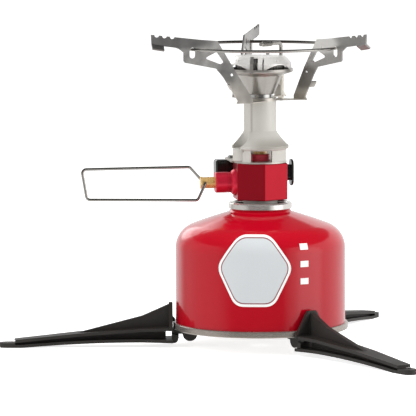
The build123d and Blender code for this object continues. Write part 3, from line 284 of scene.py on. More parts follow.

# %% Painted patches and waves in the sheet
# Each painted patch of shade or highlight: its middle across and up, half its width and height in
# millimetres, its colour and strength
for across, up, half_width, half_height, patch_tone, strength in (
    (-44.0, 162.5, 20.0, 4.8, "6A6969", 0.7),
    (-18.5, 146.5, 7.5, 7.0, "6E6E6D", 0.5),
    (23.5, 142.5, 8.0, 8.0, "625E5A", 0.6),
    (48.0, 162.5, 10.0, 6.0, "A4A29F", 0.6),
    (32.0, 160.5, 8.5, 6.0, "F6F4F0", 0.9),
):
    away = add(tree, "ShaderNodeVectorMath", {
        0: place, 1: (across * MM, 0.0, up * MM)
    }, operation="SUBTRACT")
    share = add(tree, "ShaderNodeVectorMath", {
        0: away.outputs["Vector"], 1: (1 / (half_width * MM), 0.0, 1 / (half_height * MM))
    }, operation="MULTIPLY")
    far = add(tree, "ShaderNodeVectorMath", {0: share.outputs["Vector"]}, operation="LENGTH")
    # Each patch is painted shade, except the bright one on the right arm, a painted highlight; it fades out
    # from its middle.
    painted_patch = add(tree, "ShaderNodeMapRange", {
        "Value": far.outputs["Value"], "From Min": 1.1, "From Max": 0.55, "To Min": 0.0, "To Max": strength
    }, interpolation_type="SMOOTHSTEP")
    tone = add(tree, "ShaderNodeMix", {
        "Factor": painted_patch.outputs["Result"], "A": tone.outputs["Result"], "B": colour(patch_tone)
    }, data_type="RGBA")
dull = add(tree, "ShaderNodeMapRange", {"Value": tumble.outputs["Fac"], "To Min": 0.32, "To Max": 0.44})
waves = add(tree, "ShaderNodeTexNoise", {"Vector": place, "Scale": 1 / (9.0 * MM), "Detail": 1.0})
buckle = add(tree, "ShaderNodeBump", {
    "Height": waves.outputs["Fac"], "Strength": 0.5, "Distance": 1.6 * MM
})
ripple = add(tree, "ShaderNodeBump", {
    "Height": tumble.outputs["Fac"], "Strength": 0.12, "Distance": 0.03 * MM,
    "Normal": buckle.outputs["Normal"],
})
connect(tree, shader, tone, dull, ripple)
dress(stainless_sheet, "arm_left", "arm_right", "arm_back", "igniter_bracket", "electrode_bracket")

# %% [markdown]
# ## Drawn stainless wire
# The pot ring, the valve's handle and the spark electrode are bright drawn wire. Drawing leaves it almost
# polished, with faint cloudy marks under a millimetre across. The far half, towards the back, is painted
# dark:
# painted shade.

# %% Wire pieces
stainless_wire, tree, shader, place = surface("drawn_stainless_wire", Metallic=1.0)
cloud = add(tree, "ShaderNodeTexNoise", {"Vector": place, "Scale": 1 / (0.8 * MM), "Detail": 3.0})
bright = add(tree, "ShaderNodeMix", {
    "Factor": cloud.outputs["Fac"], "A": colour("A5A29D"), "B": colour("BFBCB6")
}, data_type="RGBA")
spot = add(tree, "ShaderNodeSeparateXYZ", {"Vector": place})
# Painted shade: the wire darkens on the far half, towards the back.
painted_far_shade = add(tree, "ShaderNodeMapRange", {
    "Value": spot.outputs["Y"], "From Min": 24.0 * MM, "From Max": 36.0 * MM, "To Max": 0.85
}, interpolation_type="SMOOTHSTEP")
tone = add(tree, "ShaderNodeMix", {
    "Factor": painted_far_shade.outputs["Result"], "A": bright.outputs["Result"], "B": colour("6A6764")
}, data_type="RGBA")
dull = add(tree, "ShaderNodeMapRange", {"Value": cloud.outputs["Fac"], "To Min": 0.14, "To Max": 0.26})
connect(tree, shader, tone, dull)
dress(stainless_wire, "wire_handle", "pot_ring", "electrode")

# %% [markdown]
# ## Burner steel
# The burner's cup and nut are pressed stainless, a little brighter than the arms. The cap is blasted, so it
# is paler and scatters more light. Both are painted darker round and below the flame ports: painted shade.

# %% Burner head
for name, dark, light, metallic, pieces in (
    ("pressed_burner_steel", "B9B6B1", "CCC9C4", 0.85, ["burner_cup", "burner_nut"]),
    ("blasted_burner_steel", "E2E0DC", "F0EEEB", 0.35, ["burner_cap"]),
):
    burner_steel, tree, shader, place = surface(name, Metallic=metallic)
    press = add(tree, "ShaderNodeTexNoise", {"Vector": place, "Scale": 1 / (1.0 * MM), "Detail": 4.0})
    steel = add(tree, "ShaderNodeMix", {
        "Factor": press.outputs["Fac"], "A": colour(dark), "B": colour(light)
    }, data_type="RGBA")
    height = add(tree, "ShaderNodeSeparateXYZ", {"Vector": place})
    # Painted shade: the steel darkens below 149.5 mm, round the flame ports.
    painted_port_shade = add(tree, "ShaderNodeMapRange", {
        "Value": height.outputs["Z"], "From Min": 149.5 * MM, "From Max": 146.5 * MM, "To Max": 0.3
    }, interpolation_type="SMOOTHSTEP")
    tone = add(tree, "ShaderNodeMix", {
        "Factor": painted_port_shade.outputs["Result"], "A": steel.outputs["Result"], "B": colour("9A9186")
    }, data_type="RGBA")
    dull = add(tree, "ShaderNodeMapRange", {"Value": press.outputs["Fac"], "To Min": 0.24, "To Max": 0.36})
    connect(tree, shader, tone, dull)
    dress(burner_steel, *pieces)

# %% [markdown]
# ## Blasted cast aluminium
# The mixing column is a casting, blasted with glass bead. Beads leave a dense even grain that scatters
# light, so it looks like pale grey stone with a soft metallic edge. A thin dark line of painted shade runs
# up the tube along the die's parting line, and the flare above the lip is painted darker, as painted shade,
# except on the left, where more light falls.

# %% Casting with painted shade along its parting line
cast_aluminium, tree, shader, place = surface("blasted_cast_aluminium", Metallic=0.2)
bead = add(tree, "ShaderNodeTexNoise", {"Vector": place, "Scale": 1 / (0.4 * MM), "Detail": 3.0})
clean = add(tree, "ShaderNodeMix", {
    "Factor": bead.outputs["Fac"], "A": colour("C2C0B9"), "B": colour("D0CEC7")
}, data_type="RGBA")
spot = add(tree, "ShaderNodeSeparateXYZ", {"Vector": place})
turned = add(tree, "ShaderNodeMath", {0: spot.outputs["Y"], 1: spot.outputs["X"]}, operation="ARCTAN2")
shade_line_turn = math.radians(123.9)
aside = add(tree, "ShaderNodeMath", {0: turned.outputs["Value"], 1: shade_line_turn}, operation="ADD")
apart = add(tree, "ShaderNodeMath", {0: aside.outputs["Value"]}, operation="ABSOLUTE")
# Painted shade: a thin dark line up the tube, along the parting line, above 113 mm.
line = add(tree, "ShaderNodeMapRange", {
    "Value": apart.outputs["Value"], "From Min": 0.02, "From Max": 0.11, "To Min": 0.55, "To Max": 0.0
})
above = add(tree, "ShaderNodeMapRange", {
    "Value": spot.outputs["Z"], "From Min": 113.0 * MM, "From Max": 114.5 * MM
})
parting_line_shade = add(tree, "ShaderNodeMath", {
    0: line.outputs["Result"], 1: above.outputs["Result"]
}, operation="MULTIPLY")
print("parting line at", round(math.degrees(-shade_line_turn), 1), "degrees")

# %% Painted shade above the lip
# Painted shade: the flare darkens down towards the lip.
fading = add(tree, "ShaderNodeMapRange", {
    "Value": spot.outputs["Z"], "From Min": 112.2 * MM, "From Max": 106.8 * MM, "To Max": 0.6
}, interpolation_type="SMOOTHSTEP")
on_lip = add(tree, "ShaderNodeMapRange", {
    "Value": spot.outputs["Z"], "From Min": 104.9 * MM, "From Max": 105.2 * MM
})
over_lip = add(tree, "ShaderNodeMath", {
    0: fading.outputs["Result"], 1: on_lip.outputs["Result"]
}, operation="MULTIPLY")
# The left, where more light falls, is left without the painted shade.
not_left = add(tree, "ShaderNodeMapRange", {
    "Value": spot.outputs["X"], "From Min": -8.0 * MM, "From Max": 1.0 * MM
}, interpolation_type="SMOOTHSTEP")
painted_lip_shade = add(tree, "ShaderNodeMath", {
    0: over_lip.outputs["Value"], 1: not_left.outputs["Result"]
}, operation="MULTIPLY")
grey = add(tree, "ShaderNodeMath", {
    0: parting_line_shade.outputs["Value"], 1: painted_lip_shade.outputs["Value"]
}, operation="MAXIMUM")
tone = add(tree, "ShaderNodeMix", {
    "Factor": grey.outputs["Value"], "A": clean.outputs["Result"], "B": colour("8C867D")
}, data_type="RGBA")
dull = add(tree, "ShaderNodeMapRange", {"Value": bead.outputs["Fac"], "To Min": 0.46, "To Max": 0.58})
ripple = add(tree, "ShaderNodeBump", {
    "Height": bead.outputs["Fac"], "Strength": 0.3, "Distance": 0.06 * MM
})
connect(tree, shader, tone, dull, ripple)
dress(cast_aluminium, "mixing_column", "inlet_connector")

# %% [markdown]
# ## Turned brass
# The spindle, the jet and the depressor pin are turned from brass bar. The tool's rings are too fine to see
# from here, so the finish only has the slight brown that fingers leave in places.

# %% Brass pieces
brass, tree, shader, place = surface("turned_brass", Metallic=0.45)
patch_tone = add(tree, "ShaderNodeTexNoise", {"Vector": place, "Scale": 1 / (2.0 * MM), "Detail": 3.0})
tone = add(tree, "ShaderNodeMix", {
    "Factor": patch_tone.outputs["Fac"], "A": colour("DCA85C"), "B": colour("FADA98")
}, data_type="RGBA")
dull = add(tree, "ShaderNodeMapRange", {"Value": patch_tone.outputs["Fac"], "To Min": 0.2, "To Max": 0.36})
connect(tree, shader, tone, dull)
dress(brass, "valve_spindle", "jet", "depressor_pin", "gas_filter")

# %% [markdown]
# ## The small finishes
# The igniter is moulded ABS, glossier than the legs. Screws and rivets are zinc plated, seals are black
# rubber, the spark insulator is glazed ceramic and the canister's inner valve is natural nylon. The gauze
# under the burner's cap is painted near black, as painted shade inside the flame ports.

# %% Igniter, fasteners, seals and insulator
# Each finish: dark and light colour, metallic, lowest and highest roughness, grain in millimetres, pieces
small_finishes = {
    "moulded_black_abs": ("121110", "1C1B1A", 0.0, 0.14, 0.24, 0.5, ["igniter_housing", "igniter_button"]),
    "zinc_plated_steel": ("B8B7B4", "D2D1CE", 1.0, 0.14, 0.26, 0.7, [
        "neck_spacer", "stand_rivet", "stand_washer", "column_screws", "bracket_screw", "valve_pin",
        "valve_spring",
    ]),
    "black_nitrile_rubber": ("141414", "202020", 0.0, 0.6, 0.8, 0.5, [
        "cup_gasket", "valve_gasket", "inlet_o_ring", "spindle_o_ring",
    ]),
    "glazed_alumina_ceramic": ("D6D1C4", "E6E2D8", 0.0, 0.14, 0.26, 1.2, ["electrode_insulator"]),
    # The gauze is painted near black: painted shade inside the flame ports.
    "heat_blackened_gauze": ("1C1A18", "34302C", 0.6, 0.5, 0.7, 0.4, ["burner_gauze"]),
    "natural_nylon": ("D2CFC4", "DEDCD2", 0.0, 0.45, 0.6, 0.6, ["valve_housing"]),
}
for name, (dark, light, metallic, smooth, rough, size, pieces) in small_finishes.items():
    small, tree, shader, place = surface(name, Metallic=metallic)
    grain = add(tree, "ShaderNodeTexNoise", {"Vector": place, "Scale": 1 / (size * MM), "Detail": 3.0})
    tone = add(tree, "ShaderNodeMix", {
        "Factor": grain.outputs["Fac"], "A": colour(dark), "B": colour(light)
    }, data_type="RGBA")
    dull = add(tree, "ShaderNodeMapRange", {
        "Value": grain.outputs["Fac"], "To Min": smooth, "To Max": rough
    })
    ripple = add(tree, "ShaderNodeBump", {
        "Height": grain.outputs["Fac"], "Strength": 0.1, "Distance": 0.03 * MM
    })
    connect(tree, shader, tone, dull, ripple)
    dress(small, *pieces)

# %% [markdown]
# ## Inks
# The can is printed with three inks under one varnish: white, pale grey and dark red. Half-tone dots are
# far too fine to show, so the dots here are half a millimetre across and only just differ in tone.

# %% Inks
inks, dot = {}, 0.5 * MM
for name, dark, light in (
    ("white_ink", "F0F0EE", "F8F8F6"),
    ("pale_grey_ink", "C8CCCE", "D0D4D6"),
    ("dark_red_ink", "80303A", "8C3A44"),
):
    inks[name], tree, shader, place = surface(name, Metallic=0.0, Coat_Weight=0.4, Coat_Roughness=0.1)
    dots = add(tree, "ShaderNodeTexNoise", {"Vector": place, "Scale": 1 / dot, "Detail": 2.0})
    tone = add(tree, "ShaderNodeMix", {
        "Factor": dots.outputs["Fac"], "A": colour(dark), "B": colour(light)
    }, data_type="RGBA")
    dull = add(tree, "ShaderNodeMapRange", {"Value": dots.outputs["Fac"], "To Min": 0.4, "To Max": 0.55})
    connect(tree, shader, tone, dull)
print("inks:", len(inks))

# %% [markdown]
# ## Printed panel
# The front of the can carries a plain pale panel with six sides, rounded corners and a white edge. A dark
# red line runs just inside the edge. The outline is rounded corner by corner and then shrunk in rings
# towards its middle. A ray from outside drops each point on the can, so the panel follows the side and runs
# up over the shoulder. It lies a tenth of a millimetre proud, to clear the facets of the can.

# %% Panel outline
CAN_R, INK = 44.8 * MM, 0.1 * MM
panel_azimuth = math.radians(263.5)
# Flat sizes of the panel, across and up, in millimetres
corners = [Vector(c) for c in (
    (9.0, 63.1), (-9.0, 63.1), (-20.5, 46.1), (-10.1, 25.9), (10.1, 25.9), (20.5, 46.1)
)]
middle, corner_cut, corner_steps, path_pitch = Vector((0.0, 45.0)), 4.5, 8, 1.2
outline = []
for n, corner in enumerate(corners):
    before = corner + (corners[n - 1] - corner).normalized() * corner_cut
    after = corner + (corners[(n + 1) % len(corners)] - corner).normalized() * corner_cut
    for step in range(corner_steps + 1):
        t = step / corner_steps
        outline.append((1 - t) ** 2 * before + 2 * t * (1 - t) * corner + t ** 2 * after)
path = []
for a, b in zip(outline, outline[1:] + outline[:1]):
    count = max(1, round((b - a).length / path_pitch))
    path += [a + (b - a) * step / count for step in range(count)]
print("panel outline:", len(path), "points")

# %% Panel on the can
can = nodes["canister_shell"]
panel_inks = ("white_ink", "dark_red_ink", "pale_grey_ink")
field = panel_inks.index("pale_grey_ink")
edge_shares = [1.0, 0.93, 0.9]
field_shares = [0.85 - 0.05 * n for n in range(17)]
sheet = bmesh.new()
rings = []
for share in edge_shares + field_shares:
    ring = []
    for spot in path:
        across, height = middle + (spot - middle) * share
        angle = panel_azimuth + across * MM / CAN_R
        out = Vector((math.cos(angle), math.sin(angle), 0))
        start = out * 2 * CAN_R + Vector((0, 0, height * MM))
        hit = can.ray_cast(start, -out)[1]
        ring.append(sheet.verts.new(hit + out * INK))
    rings.append(ring)
for n, (outer, inner) in enumerate(zip(rings, rings[1:])):
    for k in range(len(path)):
        face = sheet.faces.new((outer[k - 1], outer[k], inner[k], inner[k - 1]))
        face.material_index = min(n, field)
        face.smooth = True
sheet.faces.new(rings[-1]).material_index = field
mesh = bpy.data.meshes.new("can_panel")
sheet.to_mesh(mesh)
sheet.free()
for name in panel_inks:
    mesh.materials.append(inks[name])
panel = bpy.data.objects.new("can_panel", mesh)
bpy.context.collection.objects.link(panel)
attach(panel, "canister")
print("panel:", len(mesh.polygons), "faces")

# %% [markdown]
# ## Pieces that follow a rule
# A fuel gauge printed as a column of marks, a thread, a coil, a corrugated ribbon, a pair of bosses and a
# row of ribs each follow a simple rule, so each is a small Geometry Nodes tree with its sizes as named
# inputs. One function starts a tree, and one runs it on an empty mesh and keeps the plain result.

# %% Helpers for geometry trees
def start_tree(name, sizes):
    """A geometry tree with named inputs: the tree and its group input node."""
    tree = bpy.data.node_groups.new(name, "GeometryNodeTree")
    tree.interface.new_socket("Geometry", in_out="OUTPUT", socket_type="NodeSocketGeometry")
    for size, (kind, value) in sizes.items():
        tree.interface.new_socket(size, in_out="INPUT", socket_type=kind).default_value = value
    return tree, add(tree, "NodeGroupInput")


def run_tree(tree, name, body, slot, **values):
    """Run a tree with these sizes and hang the plain mesh on a body."""
    maker = bpy.data.objects.new(name + "_maker", bpy.data.meshes.new(name + "_maker"))
    bpy.context.collection.objects.link(maker)
    modifier = maker.modifiers.new("tree", "NODES")
    modifier.node_group = tree
    for item in tree.interface.items_tree:
        if item.in_out == "INPUT" and item.name in values:
            modifier[item.identifier] = values[item.name]
    bpy.context.view_layer.update()
    made = bpy.data.meshes.new_from_object(maker.evaluated_get(bpy.context.evaluated_depsgraph_get()))
    made.name = name
    maker.modifiers.remove(modifier)
    bpy.data.objects.remove(maker)
    piece = bpy.data.objects.new(name, made)
    bpy.context.collection.objects.link(piece)
    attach(piece, body)
    print(name, "on", body, "with", len(made.polygons), "faces")
    return piece


FLOAT, WHOLE, VECTOR = "NodeSocketFloat", "NodeSocketInt", "NodeSocketVector"
MATERIAL = "NodeSocketMaterial"
print("kinds of tree input:", FLOAT, WHOLE, VECTOR, MATERIAL)

# %% [markdown]
# ### Fuel gauge marks
# Three white marks, one above the other, tell how full a floating canister is. Each starts as a flat grid
# and is instanced down a line. The flat marks are then wrapped: sideways distance becomes an angle round
# the can, and a ray towards the axis finds the skin, which also bends the top mark over the shoulder.

# %% Flat gauge marks
tree, sizes = start_tree("gauge_marks", {
    "Count": (WHOLE, 3), "Pitch": (FLOAT, 9.0 * MM), "Top": (FLOAT, 56.6 * MM),
    "Width": (FLOAT, 4.8 * MM), "Height": (FLOAT, 3.2 * MM),
    "Azimuth": (FLOAT, 0.0), "Can Radius": (FLOAT, CAN_R), "Ink": (FLOAT, INK),
})
drop = add(tree, "ShaderNodeMath", {0: sizes.outputs["Pitch"], 1: -1.0}, operation="MULTIPLY")
step = add(tree, "ShaderNodeCombineXYZ", {"Z": drop.outputs["Value"]})
top = add(tree, "ShaderNodeCombineXYZ", {"Z": sizes.outputs["Top"]})
line = add(tree, "GeometryNodeMeshLine", {
    "Count": sizes.outputs["Count"], "Start Location": top.outputs["Vector"],
    "Offset": step.outputs["Vector"],
})
flat = add(tree, "GeometryNodeMeshGrid", {
    "Size X": sizes.outputs["Width"], "Size Y": sizes.outputs["Height"], "Vertices X": 9, "Vertices Y": 7
})
upright = add(tree, "GeometryNodeTransform", {
    "Geometry": flat.outputs["Mesh"], "Rotation": (math.radians(90), 0.0, 0.0)
})
marks = add(tree, "GeometryNodeInstanceOnPoints", {
    "Points": line.outputs["Mesh"], "Instance": upright.outputs["Geometry"]
})
plain = add(tree, "GeometryNodeRealizeInstances", {"Geometry": marks.outputs["Instances"]})
print("flat marks:", len(tree.nodes), "nodes")

# %% Gauge marks wrapped round the can
here = add(tree, "GeometryNodeInputPosition").outputs["Position"]
spot = add(tree, "ShaderNodeSeparateXYZ", {"Vector": here})
turned = add(tree, "ShaderNodeMath", {
    0: spot.outputs["X"], 1: sizes.outputs["Can Radius"]
}, operation="DIVIDE")
angle = add(tree, "ShaderNodeMath", {
    0: turned.outputs["Value"], 1: sizes.outputs["Azimuth"]
}, operation="ADD")
cosine = add(tree, "ShaderNodeMath", {0: angle.outputs["Value"]}, operation="COSINE")
sine = add(tree, "ShaderNodeMath", {0: angle.outputs["Value"]}, operation="SINE")
out = add(tree, "ShaderNodeCombineXYZ", {"X": cosine.outputs["Value"], "Y": sine.outputs["Value"]})
height = add(tree, "ShaderNodeCombineXYZ", {"Z": spot.outputs["Z"]})
far = add(tree, "ShaderNodeMath", {0: sizes.outputs["Can Radius"], 1: 2.0}, operation="MULTIPLY")
outside = add(tree, "ShaderNodeVectorMath", {
    0: out.outputs["Vector"], "Scale": far.outputs["Value"]
}, operation="SCALE")
source = add(tree, "ShaderNodeVectorMath", {
    0: outside.outputs["Vector"], 1: height.outputs["Vector"]
}, operation="ADD")
inward = add(tree, "ShaderNodeVectorMath", {0: out.outputs["Vector"], "Scale": -1.0}, operation="SCALE")
skin = add(tree, "GeometryNodeObjectInfo", {"Object": can})
ray = add(tree, "GeometryNodeRaycast", {
    "Target Geometry": skin.outputs["Geometry"], "Source Position": source.outputs["Vector"],
    "Ray Direction": inward.outputs["Vector"], "Ray Length": 1.0,
})
proud = add(tree, "ShaderNodeVectorMath", {
    0: out.outputs["Vector"], "Scale": sizes.outputs["Ink"]
}, operation="SCALE")
inked = add(tree, "ShaderNodeVectorMath", {
    0: ray.outputs["Hit Position"], 1: proud.outputs["Vector"]
}, operation="ADD")
wrapped = add(tree, "GeometryNodeSetPosition", {
    "Geometry": plain.outputs["Geometry"], "Position": inked.outputs["Vector"]
})
painted = add(tree, "GeometryNodeSetMaterial", {
    "Geometry": wrapped.outputs["Geometry"], "Material": inks["white_ink"]
})
add(tree, "NodeGroupOutput", {"Geometry": painted.outputs["Geometry"]})
gauge_azimuth = math.radians(298.3)
run_tree(tree, "fuel_gauge_marks", "canister", None, Azimuth=gauge_azimuth)

# %% [markdown]
# ### Thread and coil
# The spindle is threaded where it leaves the barrel, and the spark wire carries a short coil over the
# burner. Both are a helix: a spiral of constant radius, swept with a small round profile and laid along its
# axis.

# %% Spindle thread and spark coil
tree, sizes = start_tree("helix", {
    "Radius": (FLOAT, 3.0 * MM), "Length": (FLOAT, 4.0 * MM), "Turns": (FLOAT, 5.0),
    "Bead": (FLOAT, 0.2 * MM), "Start": (VECTOR, (0, 0, 0)), "Aim": (VECTOR, (0, 0, 0)),
    "Metal": (MATERIAL, None),
})
spiral = add(tree, "GeometryNodeCurveSpiral", {
    "Resolution": 28, "Rotations": sizes.outputs["Turns"], "Start Radius": sizes.outputs["Radius"],
    "End Radius": sizes.outputs["Radius"], "Height": sizes.outputs["Length"],
})
bead = add(tree, "GeometryNodeCurvePrimitiveCircle", {"Resolution": 8, "Radius": sizes.outputs["Bead"]})
swept = add(tree, "GeometryNodeCurveToMesh", {
    "Curve": spiral.outputs["Curve"], "Profile Curve": bead.outputs["Curve"], "Fill Caps": True
})
laid = add(tree, "GeometryNodeTransform", {
    "Geometry": swept.outputs["Mesh"], "Translation": sizes.outputs["Start"],
    "Rotation": sizes.outputs["Aim"],
})
plain = add(tree, "GeometryNodeRealizeInstances", {"Geometry": laid.outputs["Geometry"]})
metal = add(tree, "GeometryNodeSetMaterial", {
    "Geometry": plain.outputs["Geometry"], "Material": sizes.outputs["Metal"]
})
add(tree, "NodeGroupOutput", {"Geometry": metal.outputs["Geometry"]})
valve_turn, valve_z, thread_reach = math.radians(7.0), 86.9 * MM, 24.7 * MM
spindle_out = Vector((-math.cos(valve_turn), -math.sin(valve_turn), 0))
run_tree(
    tree, "spindle_thread", "spindle", "brass", Radius=2.95 * MM, Length=3.2 * MM, Turns=5.0,
    Bead=0.18 * MM, Start=spindle_out * thread_reach + Vector((0, 0, valve_z)),
    Aim=(0.0, math.radians(-90), valve_turn), Metal=brass,
)
spark_turn, spark_z, spark_reach = math.radians(53.0), 159.2 * MM, 2.5 * MM
spark_out = Vector((math.cos(spark_turn), math.sin(spark_turn), 0))
run_tree(
    tree, "spark_coil", "stove", "stainless_wire", Radius=1.0 * MM, Length=8.5 * MM, Turns=9.0,
    Bead=0.3 * MM, Start=spark_out * spark_reach + Vector((0, 0, spark_z)),
    Aim=(0.0, math.radians(90), spark_turn), Metal=stainless_wire,
)

# %% [markdown]
# ### Valve spring
# A small coil holds the canister's pin shut. The solid model keeps only the ring of space it needs when it
# is pressed, so the coil stands for it here at its free length.

# %% Valve spring
low, high = (Vector(c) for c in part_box("valve_spring"))
coil_wire, pin_travel = 0.28 * MM, 1.5 * MM
free_length = high.z - low.z + pin_travel
spring = run_tree(
    tree, "coil_spring", "canister", "plated_steel", Radius=(high.x - low.x) / 2 - coil_wire,
    Length=free_length - 2 * coil_wire, Turns=4.0, Bead=coil_wire, Start=(0.0, 0.0, low.z + coil_wire),
    Metal=bpy.data.materials["zinc_plated_steel"],
)
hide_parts("valve_spring")
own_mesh(spring)

# %% [markdown]
# ### Flame ribbon
# Inside the burner's cap stands a corrugated steel ribbon. It splits the gas into many small jets, and
# behind the slots it stops the eye. A circle is given a radial wave and swept with a thin upright strip.

# %% Flame ribbon
wave_count, points_a_wave = 44, 8
tree, sizes = start_tree("flame_ribbon", {
    "Waves": (FLOAT, wave_count), "Radius": (FLOAT, 12.6 * MM), "Swing": (FLOAT, 0.3 * MM),
    "Height": (FLOAT, 7.2 * MM), "Sheet": (FLOAT, 0.12 * MM), "Level": (FLOAT, 148.2 * MM),
    "Metal": (MATERIAL, None),
})
circle = add(tree, "GeometryNodeCurvePrimitiveCircle", {
    "Resolution": wave_count * points_a_wave, "Radius": sizes.outputs["Radius"]
})
here = add(tree, "GeometryNodeInputPosition").outputs["Position"]
spot = add(tree, "ShaderNodeSeparateXYZ", {"Vector": here})
turned = add(tree, "ShaderNodeMath", {0: spot.outputs["Y"], 1: spot.outputs["X"]}, operation="ARCTAN2")
phase = add(tree, "ShaderNodeMath", {
    0: turned.outputs["Value"], 1: sizes.outputs["Waves"]
}, operation="MULTIPLY")
wave = add(tree, "ShaderNodeMath", {0: phase.outputs["Value"]}, operation="SINE")
reach = add(tree, "ShaderNodeMath", {
    0: wave.outputs["Value"], 1: sizes.outputs["Swing"]
}, operation="MULTIPLY")
out = add(tree, "ShaderNodeVectorMath", {0: here}, operation="NORMALIZE")
push = add(tree, "ShaderNodeVectorMath", {
    0: out.outputs["Vector"], "Scale": reach.outputs["Value"]
}, operation="SCALE")
wavy = add(tree, "GeometryNodeSetPosition", {
    "Geometry": circle.outputs["Curve"], "Offset": push.outputs["Vector"]
})
strip = add(tree, "GeometryNodeCurvePrimitiveQuadrilateral", {
    "Width": sizes.outputs["Sheet"], "Height": sizes.outputs["Height"]
})
swept = add(tree, "GeometryNodeCurveToMesh", {
    "Curve": wavy.outputs["Geometry"], "Profile Curve": strip.outputs["Curve"]
})
lift = add(tree, "ShaderNodeCombineXYZ", {"Z": sizes.outputs["Level"]})
raised = add(tree, "GeometryNodeTransform", {
    "Geometry": swept.outputs["Mesh"], "Translation": lift.outputs["Vector"]
})
plain = add(tree, "GeometryNodeRealizeInstances", {"Geometry": raised.outputs["Geometry"]})
metal = add(tree, "GeometryNodeSetMaterial", {
    "Geometry": plain.outputs["Geometry"], "Material": sizes.outputs["Metal"]
})
add(tree, "NodeGroupOutput", {"Geometry": metal.outputs["Geometry"]})
ribbon = run_tree(tree, "flame_ribbon", "stove", None, Metal=stainless_sheet)
print("ribbon box:", [round(v / MM, 1) for v in ribbon.dimensions], "mm")

# %% [markdown]
# ### Screw bosses
# Two screws hold the column to the block. Each stands in a boss, a short tube cast on the foot with its
# edges rounded. A circle is swept with an upright strip whose corners are filleted, and the tube is put on
# each screw's axis.

# %% Screw bosses
tree, sizes = start_tree("screw_bosses", {
    "Count": (WHOLE, 2), "Ring": (FLOAT, 3.1 * MM), "Wall": (FLOAT, 1.8 * MM), "Height": (FLOAT, 7.0 * MM),
    "Round": (FLOAT, 0.7 * MM), "Between": (VECTOR, (0, 0, 0)), "First": (VECTOR, (0, 0, 0)),
    "Metal": (MATERIAL, None),
})
circle = add(tree, "GeometryNodeCurvePrimitiveCircle", {"Resolution": 48, "Radius": sizes.outputs["Ring"]})
strip = add(tree, "GeometryNodeCurvePrimitiveQuadrilateral", {
    "Width": sizes.outputs["Wall"], "Height": sizes.outputs["Height"]
})
rounded = add(tree, "GeometryNodeFilletCurve", {
    "Curve": strip.outputs["Curve"], "Count": 5, "Radius": sizes.outputs["Round"]
}, mode="POLY")
tube = add(tree, "GeometryNodeCurveToMesh", {
    "Curve": circle.outputs["Curve"], "Profile Curve": rounded.outputs["Curve"]
})
line = add(tree, "GeometryNodeMeshLine", {
    "Count": sizes.outputs["Count"], "Start Location": sizes.outputs["First"],
    "Offset": sizes.outputs["Between"],
})
tubes = add(tree, "GeometryNodeInstanceOnPoints", {
    "Points": line.outputs["Mesh"], "Instance": tube.outputs["Mesh"]
})
plain = add(tree, "GeometryNodeRealizeInstances", {"Geometry": tubes.outputs["Instances"]})
metal = add(tree, "GeometryNodeSetMaterial", {
    "Geometry": plain.outputs["Geometry"], "Material": sizes.outputs["Metal"]
})
add(tree, "NodeGroupOutput", {"Geometry": metal.outputs["Geometry"]})
low, high = (Vector(c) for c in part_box("column_screws"))
screw_head, boss_level = 1.5 * MM, 101.9 * MM
first = Vector((low.x + screw_head, low.y + screw_head, boss_level))
second = Vector((high.x - screw_head, high.y - screw_head, boss_level))
run_tree(tree, "screw_bosses", "stove", None, First=first, Between=second - first, Metal=cast_aluminium)

# %% [markdown]
# ### Ribs on the push button
# The igniter's button has four ribs across its face, so a thumb does not slip. A bar with round ends is
# instanced up the face. Half of each bar is sunk in the button.

# %% One rib with round ends
tree, sizes = start_tree("button_ribs", {
    "Count": (WHOLE, 4), "Pitch": (FLOAT, 2.6 * MM), "Length": (FLOAT, 5.0 * MM),
    "Radius": (FLOAT, 0.4 * MM), "Middle": (VECTOR, (0, 0, 0)), "Turn": (VECTOR, (0, 0, 0)),
    "Plastic": (MATERIAL, None),
})
bar = add(tree, "GeometryNodeMeshCylinder", {
    "Vertices": 20, "Side Segments": 8, "Radius": sizes.outputs["Radius"], "Depth": sizes.outputs["Length"]
})
here = add(tree, "GeometryNodeInputPosition").outputs["Position"]
spot = add(tree, "ShaderNodeSeparateXYZ", {"Vector": here})
along = add(tree, "ShaderNodeMath", {0: spot.outputs["Z"], 1: sizes.outputs["Length"]}, operation="DIVIDE")
square = add(tree, "ShaderNodeMath", {0: along.outputs["Value"], 1: 4.0}, operation="MULTIPLY")
power = add(tree, "ShaderNodeMath", {
    0: square.outputs["Value"], 1: along.outputs["Value"]
}, operation="MULTIPLY")
slim = add(tree, "ShaderNodeMapRange", {"Value": power.outputs["Value"], "To Min": 1.0, "To Max": 0.35})
thin = add(tree, "ShaderNodeCombineXYZ", {
    "X": slim.outputs["Result"], "Y": slim.outputs["Result"], "Z": 1.0
})
shaped = add(tree, "ShaderNodeVectorMath", {0: here, 1: thin.outputs["Vector"]}, operation="MULTIPLY")
rounded = add(tree, "GeometryNodeSetPosition", {
    "Geometry": bar.outputs["Mesh"], "Position": shaped.outputs["Vector"]
})
level = add(tree, "GeometryNodeTransform", {
    "Geometry": rounded.outputs["Geometry"], "Rotation": (math.radians(90), 0.0, 0.0)
})
print("one rib:", len(tree.nodes), "nodes")

